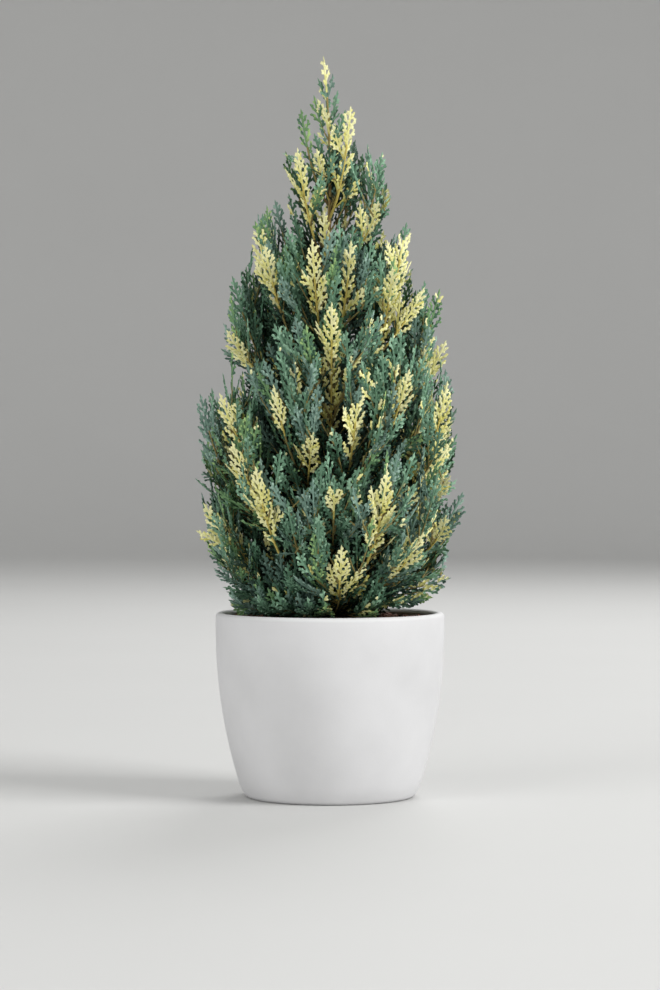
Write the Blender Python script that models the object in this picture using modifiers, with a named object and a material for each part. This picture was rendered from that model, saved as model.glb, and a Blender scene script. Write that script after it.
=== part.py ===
"""A young variegated conifer in a round white pot, built as separate pieces.

The frame is in metres with +Z up. The origin is the centre of the pot's flat underside, and the
side of the plant with the most cream sprays faces -Y. The trunk runs up the middle of the crown
and nine boughs fan out from its foot. Every plume of foliage is one piece: a stem, side twigs
that fork from it by a seeded rule, and flat sprays that are fused on and stay in the plume's
own space.
"""

import math
import random
from collections import namedtuple

import bmesh
import bpy
from mathutils import Matrix, Vector
from mathutils.bvhtree import BVHTree
from mathutils.kdtree import KDTree

# Pot
POT_HEIGHT = 0.121
POT_RADIUS = 0.075
POT_FOOT_RADIUS = 0.0525
POT_WALL = 0.0065
POT_FLOOR = 0.009
WALL_ARC_RADIUS = 0.339
WALL_ARC_HEIGHT = 0.110
WALL_ARC_START = 0.007
FOOT_EDGE_RADIUS = 0.0045
LIP_RADIUS = 0.0028
POT_STEPS = 48
SIDE_ROWS = 5
INNER_WAIST = 0.060
FLOOR_EDGE_RISE = 0.005
FLOOR_EDGE_RUN = 0.004

# Soil
SOIL_EDGE_HEIGHT = 0.1165
SOIL_TOP = 0.1180
SOIL_FLAT_RADIUS = 0.011
SOIL_WALL_GAP = 0.0007
SOIL_FOOT_GAP = 0.0060

# Crown
CROWN_TOP = 0.485
CROWN_RADIUS = 0.087
WIDEST_HEIGHT = 0.200
SKIRT_DEPTH = 0.080
SKIRT_TUCK = 0.35

# Trunk
TRUNK_TOP = 0.4020
TRUNK_FOOT_RADIUS = 0.0046
TRUNK_TOP_RADIUS = 0.0011
TRUNK_TAPER = 1.25
FLARE = 0.0032
FLARE_HEIGHT = 0.008
FLARE_RINGS = (0.0003, 0.003, 0.008, 0.016)
TRUNK_WANDER = 0.0016
WANDER_TURNS = (1.3, 1.7)
LEADER_LEAN = 0.0058
LEAN_START = 0.400
TRUNK_RINGS = 20
TRUNK_SIDES = 7
BOUGH_SIDES = 5
TWIG_SIDES = 3

# Boughs and stems
GAP = 0.0003
TIP_GAP = 0.0005
FOOT_ROOM = 0.0020
BOUGH_SHARE = 0.42
BOUGH_FOOT_RADIUS = 0.0021
STEM_FOOT_RADIUS = 0.0013
STEM_TIP_RADIUS = 0.0004
TWIG_RADIUS = 0.0009
BEND_OUT = 0.67
BEND_UP = 0.25
STEM_RINGS = 5
TWIG_RINGS = 3
LEADER_RINGS = 5
BOUGH_RINGS = 5
SKELETON_STEP = 0.003

# Sprays
SPRAY_REACH = 0.034
SPRAY_WIDTH = 0.0160
SPRAY_THICKNESS = 0.0020
SPRAY_MIDDLE = 0.50
SPRAY_SPLAY = (26.0, 33.0)
SPRAY_LIFT = 28.0
TIP_SPRAY = 0.24
TIP_WIDTH = 0.0100
TIP_OVERHANG = 0.001
TIP_TRIES = (1.0, 0.7, 0.5)
LEAD_SPRAYS = 7
BACK_SPRAYS = 6
LEADER_SPRAYS = 9
LEADER_REACH = 0.62
FORK_SPRAYS = 4
FULL_SHOOT = 0.070
FORK_START = (0.30, 0.44)
FORK_BELLY = 0.006
FORK_REACH = (0.93, 1.0)
NARROW_CROWN = 0.030
FORK_ROLL = (35.0, 85.0)
FOLIAGE_START = 0.20
FOLIAGE_END = 0.64
WIDEST_SHARE = 0.35
SPRAY_TRIES = 8
SPRAY_SHRINK = 0.06
FINE = 40
SEAT_PROBES = 16
SEAT_GAP = 0.0004
MASS_MARGIN = 0.0011
TWIG_CLEARANCE = 0.0050
POT_CLEARANCE = 0.0015

# A plume is named for its place. Azimuth is in degrees from -Y towards +X, heights are in
# millimetres over the pot's underside, and share is how much of the crown's radius its tip
# reaches. Forks are side twigs: the turn in degrees and the drop in millimetres of their tips.
Plume = namedtuple("Plume", "name azimuth tip share foot on_bough out up roll forks")

SIDE_FORKS = ((-16, 26), (15, 34))
BACK_FORKS = ((-19, 26), (18, 36))


def plume(name, azimuth, tip, share, foot, on_bough=False, out=BEND_OUT, up=BEND_UP, roll=0, forks=SIDE_FORKS):
    """One row of the crown's plan, with the usual bend, roll and side twigs unless it says others."""
    return Plume(name, azimuth, tip, share, foot, on_bough, out, up, roll, forks)


FRONT_PLUMES = (
    plume("top_left", -75, 449, 0.95, 388, roll=50, forks=()),
    plume("top_right", 45, 450, 0.95, 380, roll=-30, forks=((-70, 30),)),
    plume("upper_left", -43, 422, 0.90, 345, roll=20, forks=((25, 24),)),
    plume("upper_right", 80, 421, 1.00, 330, roll=65, forks=((-30, 34), (26, 26))),
    plume("left_shoulder", -67, 375, 0.97, 268, roll=50, forks=((16, 17), (-20, 40))),
    plume("high_front_left", -12, 361, 0.93, 272, forks=((-17, 30), (13, 38))),
    plume("high_front_right", 14, 360, 0.93, 280, roll=-25, forks=((16, 28),)),
    plume("right_shoulder", 68, 374, 0.98, 240, roll=45, forks=((5, 42), (-22, 30))),
    plume("right_wing", 90, 332, 1.05, 196, roll=65, forks=((-6, 34), (18, 30))),
    plume("left_wing", -84, 340, 0.97, 230, roll=60, forks=((17, 36), (-16, 30))),
    plume("front_centre", 1, 320, 0.93, 212, forks=((-14, 34), (13, 28))),
    plume("left_outer", -92, 263, 1.03, 138, True, 0.74, 0.18, 65, ((-13, 30), (12, 50))),
    plume("left_middle", -62, 263, 0.97, 172, roll=35, forks=((14, 26), (-12, 44))),
    plume("front_left_middle", -28, 268, 0.93, 182, roll=-15, forks=((15, 2), (20, 30))),
    plume("front_right_middle", 14, 267, 0.93, 176, roll=20, forks=((12, 32), (-13, 26))),
    plume("right_middle", 43, 278, 0.92, 188, roll=-25, forks=((-13, 28), (13, 40))),
    plume("right_outer", 72, 271, 0.98, 138, True, 0.74, 0.18, 50, ((12, -8), (-12, 30))),
    plume("left_low", -50, 232, 0.95, 152, roll=25, forks=((-13, 30), (11, 44))),
    plume("front_left_low", -35, 216, 0.95, 128, True, 0.76, 0.14, 10, ((-12, 34), (10, 46))),
    plume("right_side_low", 86, 237, 0.97, 152, roll=60, forks=((-13, 27), (13, 30))),
    plume("right_skirt", 83, 199, 1.00, 131.5, True, 0.70, 0.08, 55, ((-20, 14), (-4, 37))),
    plume("front_right_low", 26, 214, 0.95, 128, True, 0.78, 0.12, -10, ((14, 30), (-11, 40))),
    plume("front_low", 2, 209, 0.93, 146, out=0.72, up=0.20, roll=10, forks=((12, 26), (-14, 30))),
    plume("front_left_skirt", -19, 195, 0.95, 137, True, 0.76, 0.12, -10, ((10, 6), (-9, 34))),
    plume("front_foot", 6, 166, 0.86, 122, out=0.90, up=0.10, forks=((13, 12), (-12, 18))),
    plume("left_skirt", -76, 192, 0.97, 131, out=0.68, up=0.16, roll=50, forks=((-16, 14), (12, 20))),
    plume("left_foot", -86, 166, 0.96, 125, out=0.60, up=0.24, roll=25, forks=((10, 26), (-14, 18))),
    plume("right_foot", 92, 145, 1.00, 126, out=0.50, up=0.80, roll=20, forks=((-14, -4), (13, 2))),
    plume("front_right_skirt", 50, 174, 0.93, 124.5, out=0.68, up=0.18, roll=-15, forks=((12, 12), (-13, 16))),
)

# The far side is tiers of plumes: tip height, how many, share of the radius, foot height, bough.
BACK_TIERS = (
    (437, 1, 0.92, 372, False),
    (410, 2, 0.92, 352, False),
    (370, 2, 0.95, 292, False),
    (325, 3, 0.96, 232, False),
    (272, 3, 0.96, 160, True),
    (222, 3, 0.97, 149, False),
    (170, 3, 0.96, 132, False),
)
TIER_NAMES = ("top", "upper", "high", "shoulder", "middle", "low", "foot")
BACK_ARC = (112.0, 248.0)
BACK_TURN = 9.0
BACK_FOOT_STEP = 5
BACK_TIP_SPREAD = 9
BACK_ROLL = 70
BACK_SKIRT_BEND = (0.55, 0.35)

GREEN = (0.10, 0.20, 0.13, 1.0)
CREAM = (0.62, 0.56, 0.24, 1.0)
BARK = (0.19, 0.11, 0.05, 1.0)
POT_WHITE = (0.76, 0.76, 0.77, 1.0)
PEAT = (0.055, 0.032, 0.022, 1.0)
CREAM_PLUMES = (
    "leader_tip", "top_right", "upper_left", "left_shoulder", "high_front_left",
    "high_front_right",
    "right_shoulder", "front_centre", "left_middle", "front_left_middle", "right_middle",
    "right_outer", "left_low", "front_left_low", "front_right_low", "front_foot", "left_skirt",
    "front_right_skirt", "back_upper_1", "back_shoulder_2", "back_middle_1", "back_low_3",
)


def clear_scene():
    """Removes the objects that a new file starts with."""
    for item in list(bpy.data.objects):
        bpy.data.objects.remove(item, do_unlink=True)


def collection(name):
    """A new collection under the scene's own."""
    made = bpy.data.collections.new(name)
    bpy.context.scene.collection.children.link(made)
    return made


def material(name, colour, roughness):
    """A plain finish for the pieces that share it."""
    made = bpy.data.materials.new(name)
    made.use_nodes = True
    shader = made.node_tree.nodes["Principled BSDF"]
    shader.inputs["Base Color"].default_value = colour
    shader.inputs["Roughness"].default_value = roughness
    shader.inputs["Metallic"].default_value = 0.0
    return made


def smooth_shaded(piece):
    """Shades a round piece smooth, with its real edges kept sharp."""
    piece.data.shade_smooth()
    piece.data.set_sharp_from_angle(angle=math.radians(40))


def arc(centre_x, centre_z, radius, start, end, steps):
    """Points along an arc in the profile plane, with angles in degrees from +X towards +Z."""
    turns = (math.radians(start + (end - start) * i / steps) for i in range(steps + 1))
    return [(centre_x + radius * math.cos(a), centre_z + radius * math.sin(a)) for a in turns]


def turned(name, profile, steps, group, finish):
    """A solid of revolution about Z from a profile that runs down its outer side."""
    mesh = bpy.data.meshes.new(name)
    edges = [(i, i + 1) for i in range(len(profile) - 1)]
    mesh.from_pydata([(x, 0.0, z) for x, z in profile], edges, [])
    piece = bpy.data.objects.new(name, mesh)
    group.objects.link(piece)
    screw = piece.modifiers.new("turn", "SCREW")
    screw.steps = screw.render_steps = steps
    screw.use_merge_vertices = True
    screw.merge_threshold = 0.00001
    screw.use_smooth_shade = True
    piece.data.materials.append(finish)
    return piece


def wall_radius(height):
    """The pot's outer radius: upright near the rim and curving in towards its foot."""
    drop = max(0.0, WALL_ARC_HEIGHT - height)
    return POT_RADIUS - (WALL_ARC_RADIUS - math.sqrt(WALL_ARC_RADIUS**2 - drop**2))


def build_pot(group, finish):
    """The pot: one thick wall with a rounded lip and a flat underside."""
    rim_side = POT_HEIGHT - LIP_RADIUS
    side = [rim_side - (rim_side - WALL_ARC_START) * i / SIDE_ROWS for i in range(1, SIDE_ROWS)]
    lip_middle = POT_RADIUS - POT_WALL + LIP_RADIUS
    profile = [(0.0, POT_FLOOR), (wall_radius(POT_FLOOR) - POT_WALL - FLOOR_EDGE_RUN, POT_FLOOR)]
    inner = [POT_FLOOR + FLOOR_EDGE_RISE, INNER_WAIST, rim_side]
    profile += [(wall_radius(z) - POT_WALL, z) for z in inner]
    profile += arc(lip_middle, rim_side, LIP_RADIUS, 180, 90, 2)[1:]
    profile += arc(POT_RADIUS - LIP_RADIUS, rim_side, LIP_RADIUS, 90, 0, 2)
    profile += [(wall_radius(z), z) for z in side]
    profile += [(wall_radius(WALL_ARC_START), WALL_ARC_START)]
    profile += arc(POT_FOOT_RADIUS, FOOT_EDGE_RADIUS, FOOT_EDGE_RADIUS, -20, -90, 3)
    profile += [(0.0, 0.0)]
    return turned("pot", profile, POT_STEPS, group, finish)


def build_soil(group, finish):
    """The root ball's soil: it fills the pot to just under its rim and mounds a little."""
    heights = [SOIL_EDGE_HEIGHT, INNER_WAIST, POT_FLOOR + FLOOR_EDGE_RISE + 0.001]
    profile = [(0.0, SOIL_TOP), (SOIL_FLAT_RADIUS, SOIL_TOP)]
    profile += [(wall_radius(z) - POT_WALL - SOIL_WALL_GAP, z) for z in heights]
    profile += [(wall_radius(POT_FLOOR) - POT_WALL - SOIL_FOOT_GAP, POT_FLOOR + GAP)]
    profile += [(0.0, POT_FLOOR + GAP)]
    return turned("soil", profile, POT_STEPS, group, finish)


def crown_radius(height):
    """How far the crown reaches from the trunk at a height."""
    if height >= WIDEST_HEIGHT:
        rise = (height - WIDEST_HEIGHT) / (CROWN_TOP - WIDEST_HEIGHT)
        return CROWN_RADIUS * (1.0 - min(1.0, rise) ** 2)
    drop = (WIDEST_HEIGHT - height) / SKIRT_DEPTH
    return CROWN_RADIUS * (1.0 - SKIRT_TUCK * min(1.0, drop) ** 2)


def trunk_point(height):
    """The trunk's centre at a height: a slight wander, and a leader that leans to -X."""
    rise = (height - SOIL_TOP) / (CROWN_TOP - SOIL_TOP)
    lean = max(0.0, (height - LEAN_START) / (CROWN_TOP - LEAN_START))
    side_turn, deep_turn = (2.0 * math.pi * turns * rise for turns in WANDER_TURNS)
    across = TRUNK_WANDER * math.sin(side_turn) * rise - LEADER_LEAN * lean**1.5
    deep = 0.6 * TRUNK_WANDER * math.sin(deep_turn)
    return Vector((across, deep, height))


def trunk_radius(height):
    """The trunk's radius at a height, with the root flare at its foot."""
    rise = min(1.0, (height - SOIL_TOP) / (TRUNK_TOP - SOIL_TOP))
    taper = TRUNK_TOP_RADIUS + (TRUNK_FOOT_RADIUS - TRUNK_TOP_RADIUS) * (1.0 - rise) ** TRUNK_TAPER
    return taper + FLARE * math.exp(-(height - SOIL_TOP) / FLARE_HEIGHT)


def outward(azimuth):
    """The level direction at an azimuth in degrees."""
    turn = math.radians(azimuth)
    return Vector((math.sin(turn), -math.cos(turn), 0.0))


def profile_curve(name, sides):
    """A small regular outline that a limb is drawn with, with a corner on its +Y side."""
    curve = bpy.data.curves.new(name, "CURVE")
    curve.dimensions = "2D"
    spline = curve.splines.new("POLY")
    spline.points.add(sides - 1)
    for i in range(sides):
        turn = math.pi / 2.0 + 2.0 * math.pi * i / sides
        spline.points[i].co = (math.cos(turn), math.sin(turn), 0.0, 1.0)
    spline.use_cyclic_u = True
    outline = bpy.data.objects.new(name, curve)
    outline.hide_render = True
    outline.display_type = "WIRE"
    return outline


def limb(name, points, radii, outline, group, roll=0.0):
    """One tapering limb along a run of points, as a closed mesh."""
    curve = bpy.data.curves.new(name, "CURVE")
    curve.dimensions = "3D"
    curve.twist_mode = "Z_UP"
    curve.bevel_mode = "OBJECT"
    curve.bevel_object = outline
    curve.use_fill_caps = True
    spline = curve.splines.new("POLY")
    spline.points.add(len(points) - 1)
    for place, point, radius in zip(spline.points, points, radii):
        place.co = (*point, 1.0)
        place.radius = radius
        place.tilt = math.radians(roll)
    drawn = bpy.data.objects.new(name + "_line", curve)
    group.objects.link(drawn)
    graph = bpy.context.evaluated_depsgraph_get()
    mesh = bpy.data.meshes.new_from_object(drawn.evaluated_get(graph))
    mesh.name = name
    work = bmesh.new()
    work.from_mesh(mesh)
    bmesh.ops.remove_doubles(work, verts=work.verts, dist=0.00001)
    bmesh.ops.recalc_face_normals(work, faces=work.faces)
    work.to_mesh(mesh)
    work.free()
    piece = bpy.data.objects.new(name, mesh)
    piece.matrix_world = drawn.matrix_world
    group.objects.link(piece)
    bpy.data.objects.remove(drawn, do_unlink=True)
    return piece


def triangulated(piece):
    """The piece with its faces cut into triangles, so that every test of it sees the same surface."""
    work = bmesh.new()
    work.from_mesh(piece.data)
    bmesh.ops.triangulate(work, faces=work.faces)
    work.to_mesh(piece.data)
    work.free()
    return piece


def surface(piece):
    """A piece's faces, to test what crosses them."""
    corners = [corner.co for corner in piece.data.vertices]
    return BVHTree.FromPolygons(corners, [list(face.vertices) for face in piece.data.polygons])


def spaced(points, count):
    """The same line with its points spread evenly along it."""
    lengths = [0.0]
    for a, b in zip(points, points[1:]):
        lengths.append(lengths[-1] + (b - a).length)
    found = []
    for i in range(count):
        goal = lengths[-1] * i / (count - 1)
        k = next(j for j in range(1, len(lengths)) if lengths[j] >= goal - 1e-12)
        share = (goal - lengths[k - 1]) / max(1e-12, lengths[k] - lengths[k - 1])
        found.append(points[k - 1].lerp(points[k], share))
    return found


def bend(start, middle, end, count=25):
    """Points along a curve that leaves start towards middle and comes into end from it."""
    found = []
    for i in range(count):
        t = i / (count - 1)
        found.append((1 - t) ** 2 * start + 2 * t * (1 - t) * middle + t**2 * end)
    return found


def line_length(points):
    """The length of a run of points."""
    return sum((b - a).length for a, b in zip(points, points[1:]))


def cut_line(points, start, end):
    """The stretch of a line from one length to another along it."""
    fine = spaced(points, 101)
    total = line_length(points)
    first = round(100 * start / total)
    last = round(100 * end / total)
    return fine[first : last + 1]


def lead_path(row):
    """The line of a plume's lead shoot, from the trunk's bark to its tip."""
    foot_height, tip_height = row.foot / 1000.0, row.tip / 1000.0
    out = outward(row.azimuth)
    reach = crown_radius(tip_height) * row.share
    rise = tip_height - foot_height
    middle = Vector((0.0, 0.0, foot_height + rise * row.up)) + out * (reach * row.out)
    foot = trunk_point(foot_height) + out * (trunk_radius(foot_height) + FOOT_ROOM)
    tip = Vector((0.0, 0.0, tip_height)) + out * reach
    return bend(foot, middle, tip)


def back_plumes():
    """The far side's plumes, spread over each tier and turned a little from tier to tier."""
    rows = []
    for tier, (tip, count, share, foot, on_bough) in enumerate(BACK_TIERS):
        turn = BACK_TURN if tier % 2 else -BACK_TURN
        width = (BACK_ARC[1] - BACK_ARC[0]) / count
        for i in range(count):
            azimuth = BACK_ARC[0] + width * (i + 0.5) + turn
            name = f"back_{TIER_NAMES[tier]}_{i + 1}"
            rng = random.Random(name)
            height = tip + rng.uniform(-BACK_TIP_SPREAD, BACK_TIP_SPREAD)
            roll = rng.uniform(-BACK_ROLL, BACK_ROLL)
            skirt = tier == len(BACK_TIERS) - 1
            out, up = BACK_SKIRT_BEND if skirt else (BEND_OUT, BEND_UP)
            forks = BACK_FORKS if tier > 1 else SIDE_FORKS[:1]
            low = foot + BACK_FOOT_STEP * i
            rows.append(plume(name, azimuth, height, share, low, on_bough, out, up, roll, forks))
    return rows


def leader_row():
    """The shoot at the very top, which goes on from the trunk's tip."""
    return plume("leader_tip", -90, 1000 * CROWN_TOP, 1.0, 1000 * TRUNK_TOP, roll=90, forks=())


def leader_path():
    """The line of the top shoot, just clear of the trunk's tip."""
    start = TRUNK_TOP + GAP
    heights = [start + (CROWN_TOP - 0.002 - start) * i / 6 for i in range(7)]
    return [trunk_point(z) for z in heights]


class Space:
    """Knows which plume, bough or trunk is nearest to a point."""

    def __init__(self):
        self.lines = []
        self.tree = None

    def add(self, owner, points):
        """Adds a limb's centre line."""
        count = max(2, int(line_length(points) / SKELETON_STEP) + 1)
        self.lines.append((owner, spaced(points, count)))

    def settle(self):
        """Makes the search tree again after lines were added."""
        places = [(point, owner) for owner, line in self.lines for point in line]
        self.owners = [owner for _, owner in places]
        self.tree = KDTree(len(places))
        for i, (point, _) in enumerate(places):
            self.tree.insert(point, i)
        self.tree.balance()

    def distances(self, point, owner):
        """How far a point is from its owner's lines and from every other line."""
        own = other = None
        for _, index, distance in self.tree.find_n(point, 60):
            if self.owners[index] == owner:
                own = distance if own is None else own
            else:
                other = distance if other is None else other
            if own is not None and other is not None:
                break
        far = 1.0
        return far if own is None else own, far if other is None else other

    def holds(self, point, owner, margin):
        """Whether a point lies in its owner's space."""
        own, other = self.distances(point, owner)
        return own + margin < other


def fork_path(row, path, fork, rng):
    """The line of a side twig: it leaves the lead shoot low down and rises beside it."""
    turn, drop = fork
    tip_height = row.tip / 1000.0 - drop / 1000.0
    start = spaced(path, 101)[int(100 * rng.uniform(*FORK_START))]
    wide = turn * (CROWN_RADIUS / max(NARROW_CROWN, crown_radius(tip_height))) ** 0.5
    reach = crown_radius(tip_height) * row.share * rng.uniform(*FORK_REACH)
    tip = Vector((0.0, 0.0, tip_height)) + outward(row.azimuth + wide) * reach
    middle = start.lerp(tip, 0.45) + outward(row.azimuth + wide) * FORK_BELLY
    return spaced(bend(start, middle, tip), TWIG_RINGS)


def frame_at(points, index, roll):
    """The direction of a line at a point, and the direction in which its sprays spread."""
    low, high = max(0, index - 1), min(len(points) - 1, index + 1)
    along = (points[high] - points[low]).normalized()
    flat = Vector((points[index].x, points[index].y, 0.0))
    radial = flat.normalized() if flat.length > 1e-6 else Vector((0.0, -1.0, 0.0))
    level = Vector((0.0, 0.0, 1.0)).cross(radial)
    spread = (level - along * level.dot(along)).normalized()
    return along, Matrix.Rotation(math.radians(roll), 3, along) @ spread


def leaf_mesh(root, direction, flat, length, width, group):
    """One spray: a blade of eight faces, widest at its middle and flat across one direction."""
    work = bmesh.new()
    bmesh.ops.create_uvsphere(work, u_segments=4, v_segments=2, radius=0.5)
    facing = direction.cross(flat).normalized()
    for corner in work.verts:
        x, y, z = corner.co
        middle = abs(z) < 0.25
        along = (SPRAY_MIDDLE if middle else z + 0.5) * length
        corner.co = root + direction * along + flat * (x * width) + facing * (y * SPRAY_THICKNESS)
    bmesh.ops.recalc_face_normals(work, faces=work.faces)
    mesh = bpy.data.meshes.new("spray")
    work.to_mesh(mesh)
    work.free()
    piece = bpy.data.objects.new("spray", mesh)
    group.objects.link(piece)
    return piece


def leaf_checks(root, direction, flat, length, width):
    """Points over a blade that show which space it lies in."""
    found = []
    for share, spread in ((0.3, 0.6), (0.5, 1.0), (0.75, 0.5), (1.0, 0.0)):
        for side in (-0.5, 0.0, 0.5):
            found.append(root + direction * (length * share) + flat * (width * spread * side))
    return found


def clear_of_pot(point):
    """Whether a point is over the soil inside the rim, or over the rim outside it."""
    reach = math.hypot(point.x, point.y)
    if reach < POT_RADIUS - POT_WALL - 0.002:
        return point.z > SOIL_TOP + POT_CLEARANCE
    return point.z > POT_HEIGHT + POT_CLEARANCE


def in_its_space(points, owner, space):
    """Whether a blade stays in its plume's space and off the limbs and the pot."""
    return all(clear_of_pot(p) and space.holds(p, owner, MASS_MARGIN) for p in points)


def spray_reach(share):
    """How far the sprays reach at a share of a shoot, which ends in a point at its tip."""
    if share < WIDEST_SHARE:
        return SPRAY_REACH * (0.6 + 0.4 * share / WIDEST_SHARE)
    past = (share - WIDEST_SHARE) / (1.0 - WIDEST_SHARE)
    return SPRAY_REACH * (1.0 - past**2) ** 0.8


def side_spray(fine, share, side, roll, scale, rng):
    """One try at a spray beside a shoot: its root, direction, flat side, reach and width."""
    index = round(FINE * share)
    along, spread = frame_at(fine, index, roll)
    splay = math.radians(rng.uniform(*SPRAY_SPLAY))
    lift = math.radians(rng.uniform(-SPRAY_LIFT, SPRAY_LIFT))
    across = spread * math.cos(lift) + along.cross(spread) * math.sin(lift)
    direction = (along * math.cos(splay) + across * (side * math.sin(splay))).normalized()
    flat = (across - direction * across.dot(direction)).normalized()
    reach = spray_reach(share) * scale
    return fine[index], direction, flat, reach, SPRAY_WIDTH * (reach / SPRAY_REACH) ** 0.5


def tip_spray(fine, roll):
    """The spray that ends a shoot in a point."""
    index = round(FINE * (1.0 - TIP_SPRAY))
    direction = (fine[FINE] - fine[index]).normalized()
    spread = frame_at(fine, index, roll)[1]
    flat = (spread - direction * spread.dot(direction)).normalized()
    reach = (fine[FINE] - fine[index]).length + TIP_OVERHANG
    return fine[index], direction, flat, reach, min(TIP_WIDTH, 0.45 * reach)


def place_spray(tries, owner, space, group, others):
    """Adds the first spray of some tries that keeps to its plume's space and crosses nothing."""
    for root, direction, flat, reach, width in tries:
        checks = leaf_checks(root, direction, flat, reach, width)
        if not in_its_space(checks, owner, space):
            continue
        leaf = leaf_mesh(root, direction, flat, reach, width, group)
        outline = surface(leaf)
        if not any(outline.overlap(other) for other in others):
            return [outline]
        bpy.data.objects.remove(leaf, do_unlink=True)
    return []


def sprays_on(owner, path, roll, count, scale, space, group, others, rng):
    """The sprays of one shoot: one at its tip, and pairs that alternate down it."""
    fine = spaced(path, FINE + 1)
    end = tip_spray(fine, roll)
    ends = [(*end[:4], end[4] * narrow) for narrow in TIP_TRIES]
    made = place_spray(ends, owner, space, group, others)
    for i in range(count - 1):
        share = FOLIAGE_START + (FOLIAGE_END - FOLIAGE_START) * i / (count - 2)
        side = -1 if i % 2 else 1
        sizes = [scale * (1.0 - SPRAY_SHRINK * k) for k in range(SPRAY_TRIES)]
        tries = [side_spray(fine, share, side, roll, size, rng) for size in sizes]
        made += place_spray(tries, owner, space, group, others + made)
    return made


def tapered(count, start, end):
    """Radii that shrink evenly along a limb."""
    return [start + (end - start) * i / (count - 1) for i in range(count)]


def fused(stem, group):
    """The stem with everything in the group joined to it as one solid."""
    join = stem.modifiers.new("fuse", "BOOLEAN")
    join.operation = "UNION"
    join.operand_type = "COLLECTION"
    join.collection = group
    join.solver = "EXACT"
    bpy.context.view_layer.update()
    graph = bpy.context.evaluated_depsgraph_get()
    mesh = bpy.data.meshes.new_from_object(stem.evaluated_get(graph))
    stem.modifiers.clear()
    old, stem.data = stem.data, mesh
    bpy.data.meshes.remove(old)
    for item in list(group.objects):
        spent = item.data
        bpy.data.objects.remove(item, do_unlink=True)
        bpy.data.meshes.remove(spent)
    return stem


def plan_crown():
    """Every plume's lines: its bough if it has one, its stem, and the side twigs that fit."""
    space = Space()
    heights = [SOIL_TOP + (TRUNK_TOP - SOIL_TOP) * i / 60 for i in range(61)]
    space.add("trunk", [trunk_point(z) for z in heights])
    plans = []
    rows = list(FRONT_PLUMES) + back_plumes()
    for row in [leader_row()] + rows:
        path = leader_path() if row.name == "leader_tip" else lead_path(row)
        total = line_length(path)
        bough = None
        if row.on_bough:
            bough = cut_line(path, 0.0, BOUGH_SHARE * total)
            path = cut_line(path, BOUGH_SHARE * total, total)
            path[0] = path[0] + (path[1] - path[0]).normalized() * TIP_GAP
            bough = spaced(bough, BOUGH_RINGS)
            space.add("bough_" + row.name, bough)
        path = spaced(path, LEADER_RINGS if row.name == "leader_tip" else STEM_RINGS)
        space.add(row.name, path)
        plans.append({"row": row, "stem": path, "bough": bough, "twigs": []})
    space.settle()
    for plan in plans:
        row = plan["row"]
        rng = random.Random("forks of " + row.name)
        for fork in row.forks:
            path = fork_path(row, plan["stem"], fork, rng)
            clear = [space.distances(p, row.name)[1] > TWIG_CLEARANCE for p in spaced(path, 12)]
            if all(clear[2:]) and all(clear_of_pot(p) for p in path):
                plan["twigs"].append(path)
                space.add(row.name, path)
                space.settle()
    return plans, space


def seat_on(piece, point, carrier):
    """Draws the end ring of a limb in until it lies a small gap off the trunk that carries it."""
    inward = Vector((-point.x, -point.y, 0.0)).normalized()
    near = 1.5 * BOUGH_FOOT_RADIUS
    ring = [corner for corner in piece.data.vertices if (corner.co - point).length < near]
    places = [corner.co.copy() for corner in ring]
    probes = [a.lerp(b, k / SEAT_PROBES) for a in places for b in places for k in range(SEAT_PROBES)]
    hits = [carrier.ray_cast(probe, inward)[3] for probe in probes]
    travel = min(hit for hit in hits if hit is not None) - SEAT_GAP
    for corner in ring:
        corner.co += inward * travel


def build_limbs(plans, group, finish):
    """The trunk, and the boughs that fan out from its foot. It gives back the trunk's faces."""
    round_outline = profile_curve("round_outline", TRUNK_SIDES)
    bough_outline = profile_curve("bough_outline", BOUGH_SIDES)
    bpy.context.scene.collection.objects.link(round_outline)
    bpy.context.scene.collection.objects.link(bough_outline)
    heights = [SOIL_TOP + rise for rise in FLARE_RINGS]
    rest = TRUNK_RINGS - len(heights)
    heights += [heights[-1] + (TRUNK_TOP - heights[-1]) * i / rest for i in range(1, rest + 1)]
    points = [trunk_point(z) for z in heights]
    points[0] = Vector((points[1].x, points[1].y, heights[0]))
    radii = [trunk_radius(z) for z in heights]
    pieces = [triangulated(limb("trunk", points, radii, round_outline, group))]
    bark = surface(pieces[0])
    for plan in plans:
        if plan["bough"]:
            name = "bough_" + plan["row"].name
            radii = tapered(BOUGH_RINGS, BOUGH_FOOT_RADIUS, STEM_FOOT_RADIUS)
            pieces.append(limb(name, plan["bough"], radii, bough_outline, group))
            seat_on(pieces[-1], plan["bough"][0], bark)
    for piece in pieces:
        piece.data.materials.append(finish)
        smooth_shaded(piece)
    for outline in (round_outline, bough_outline):
        bpy.data.objects.remove(outline, do_unlink=True)
    return bark


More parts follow.
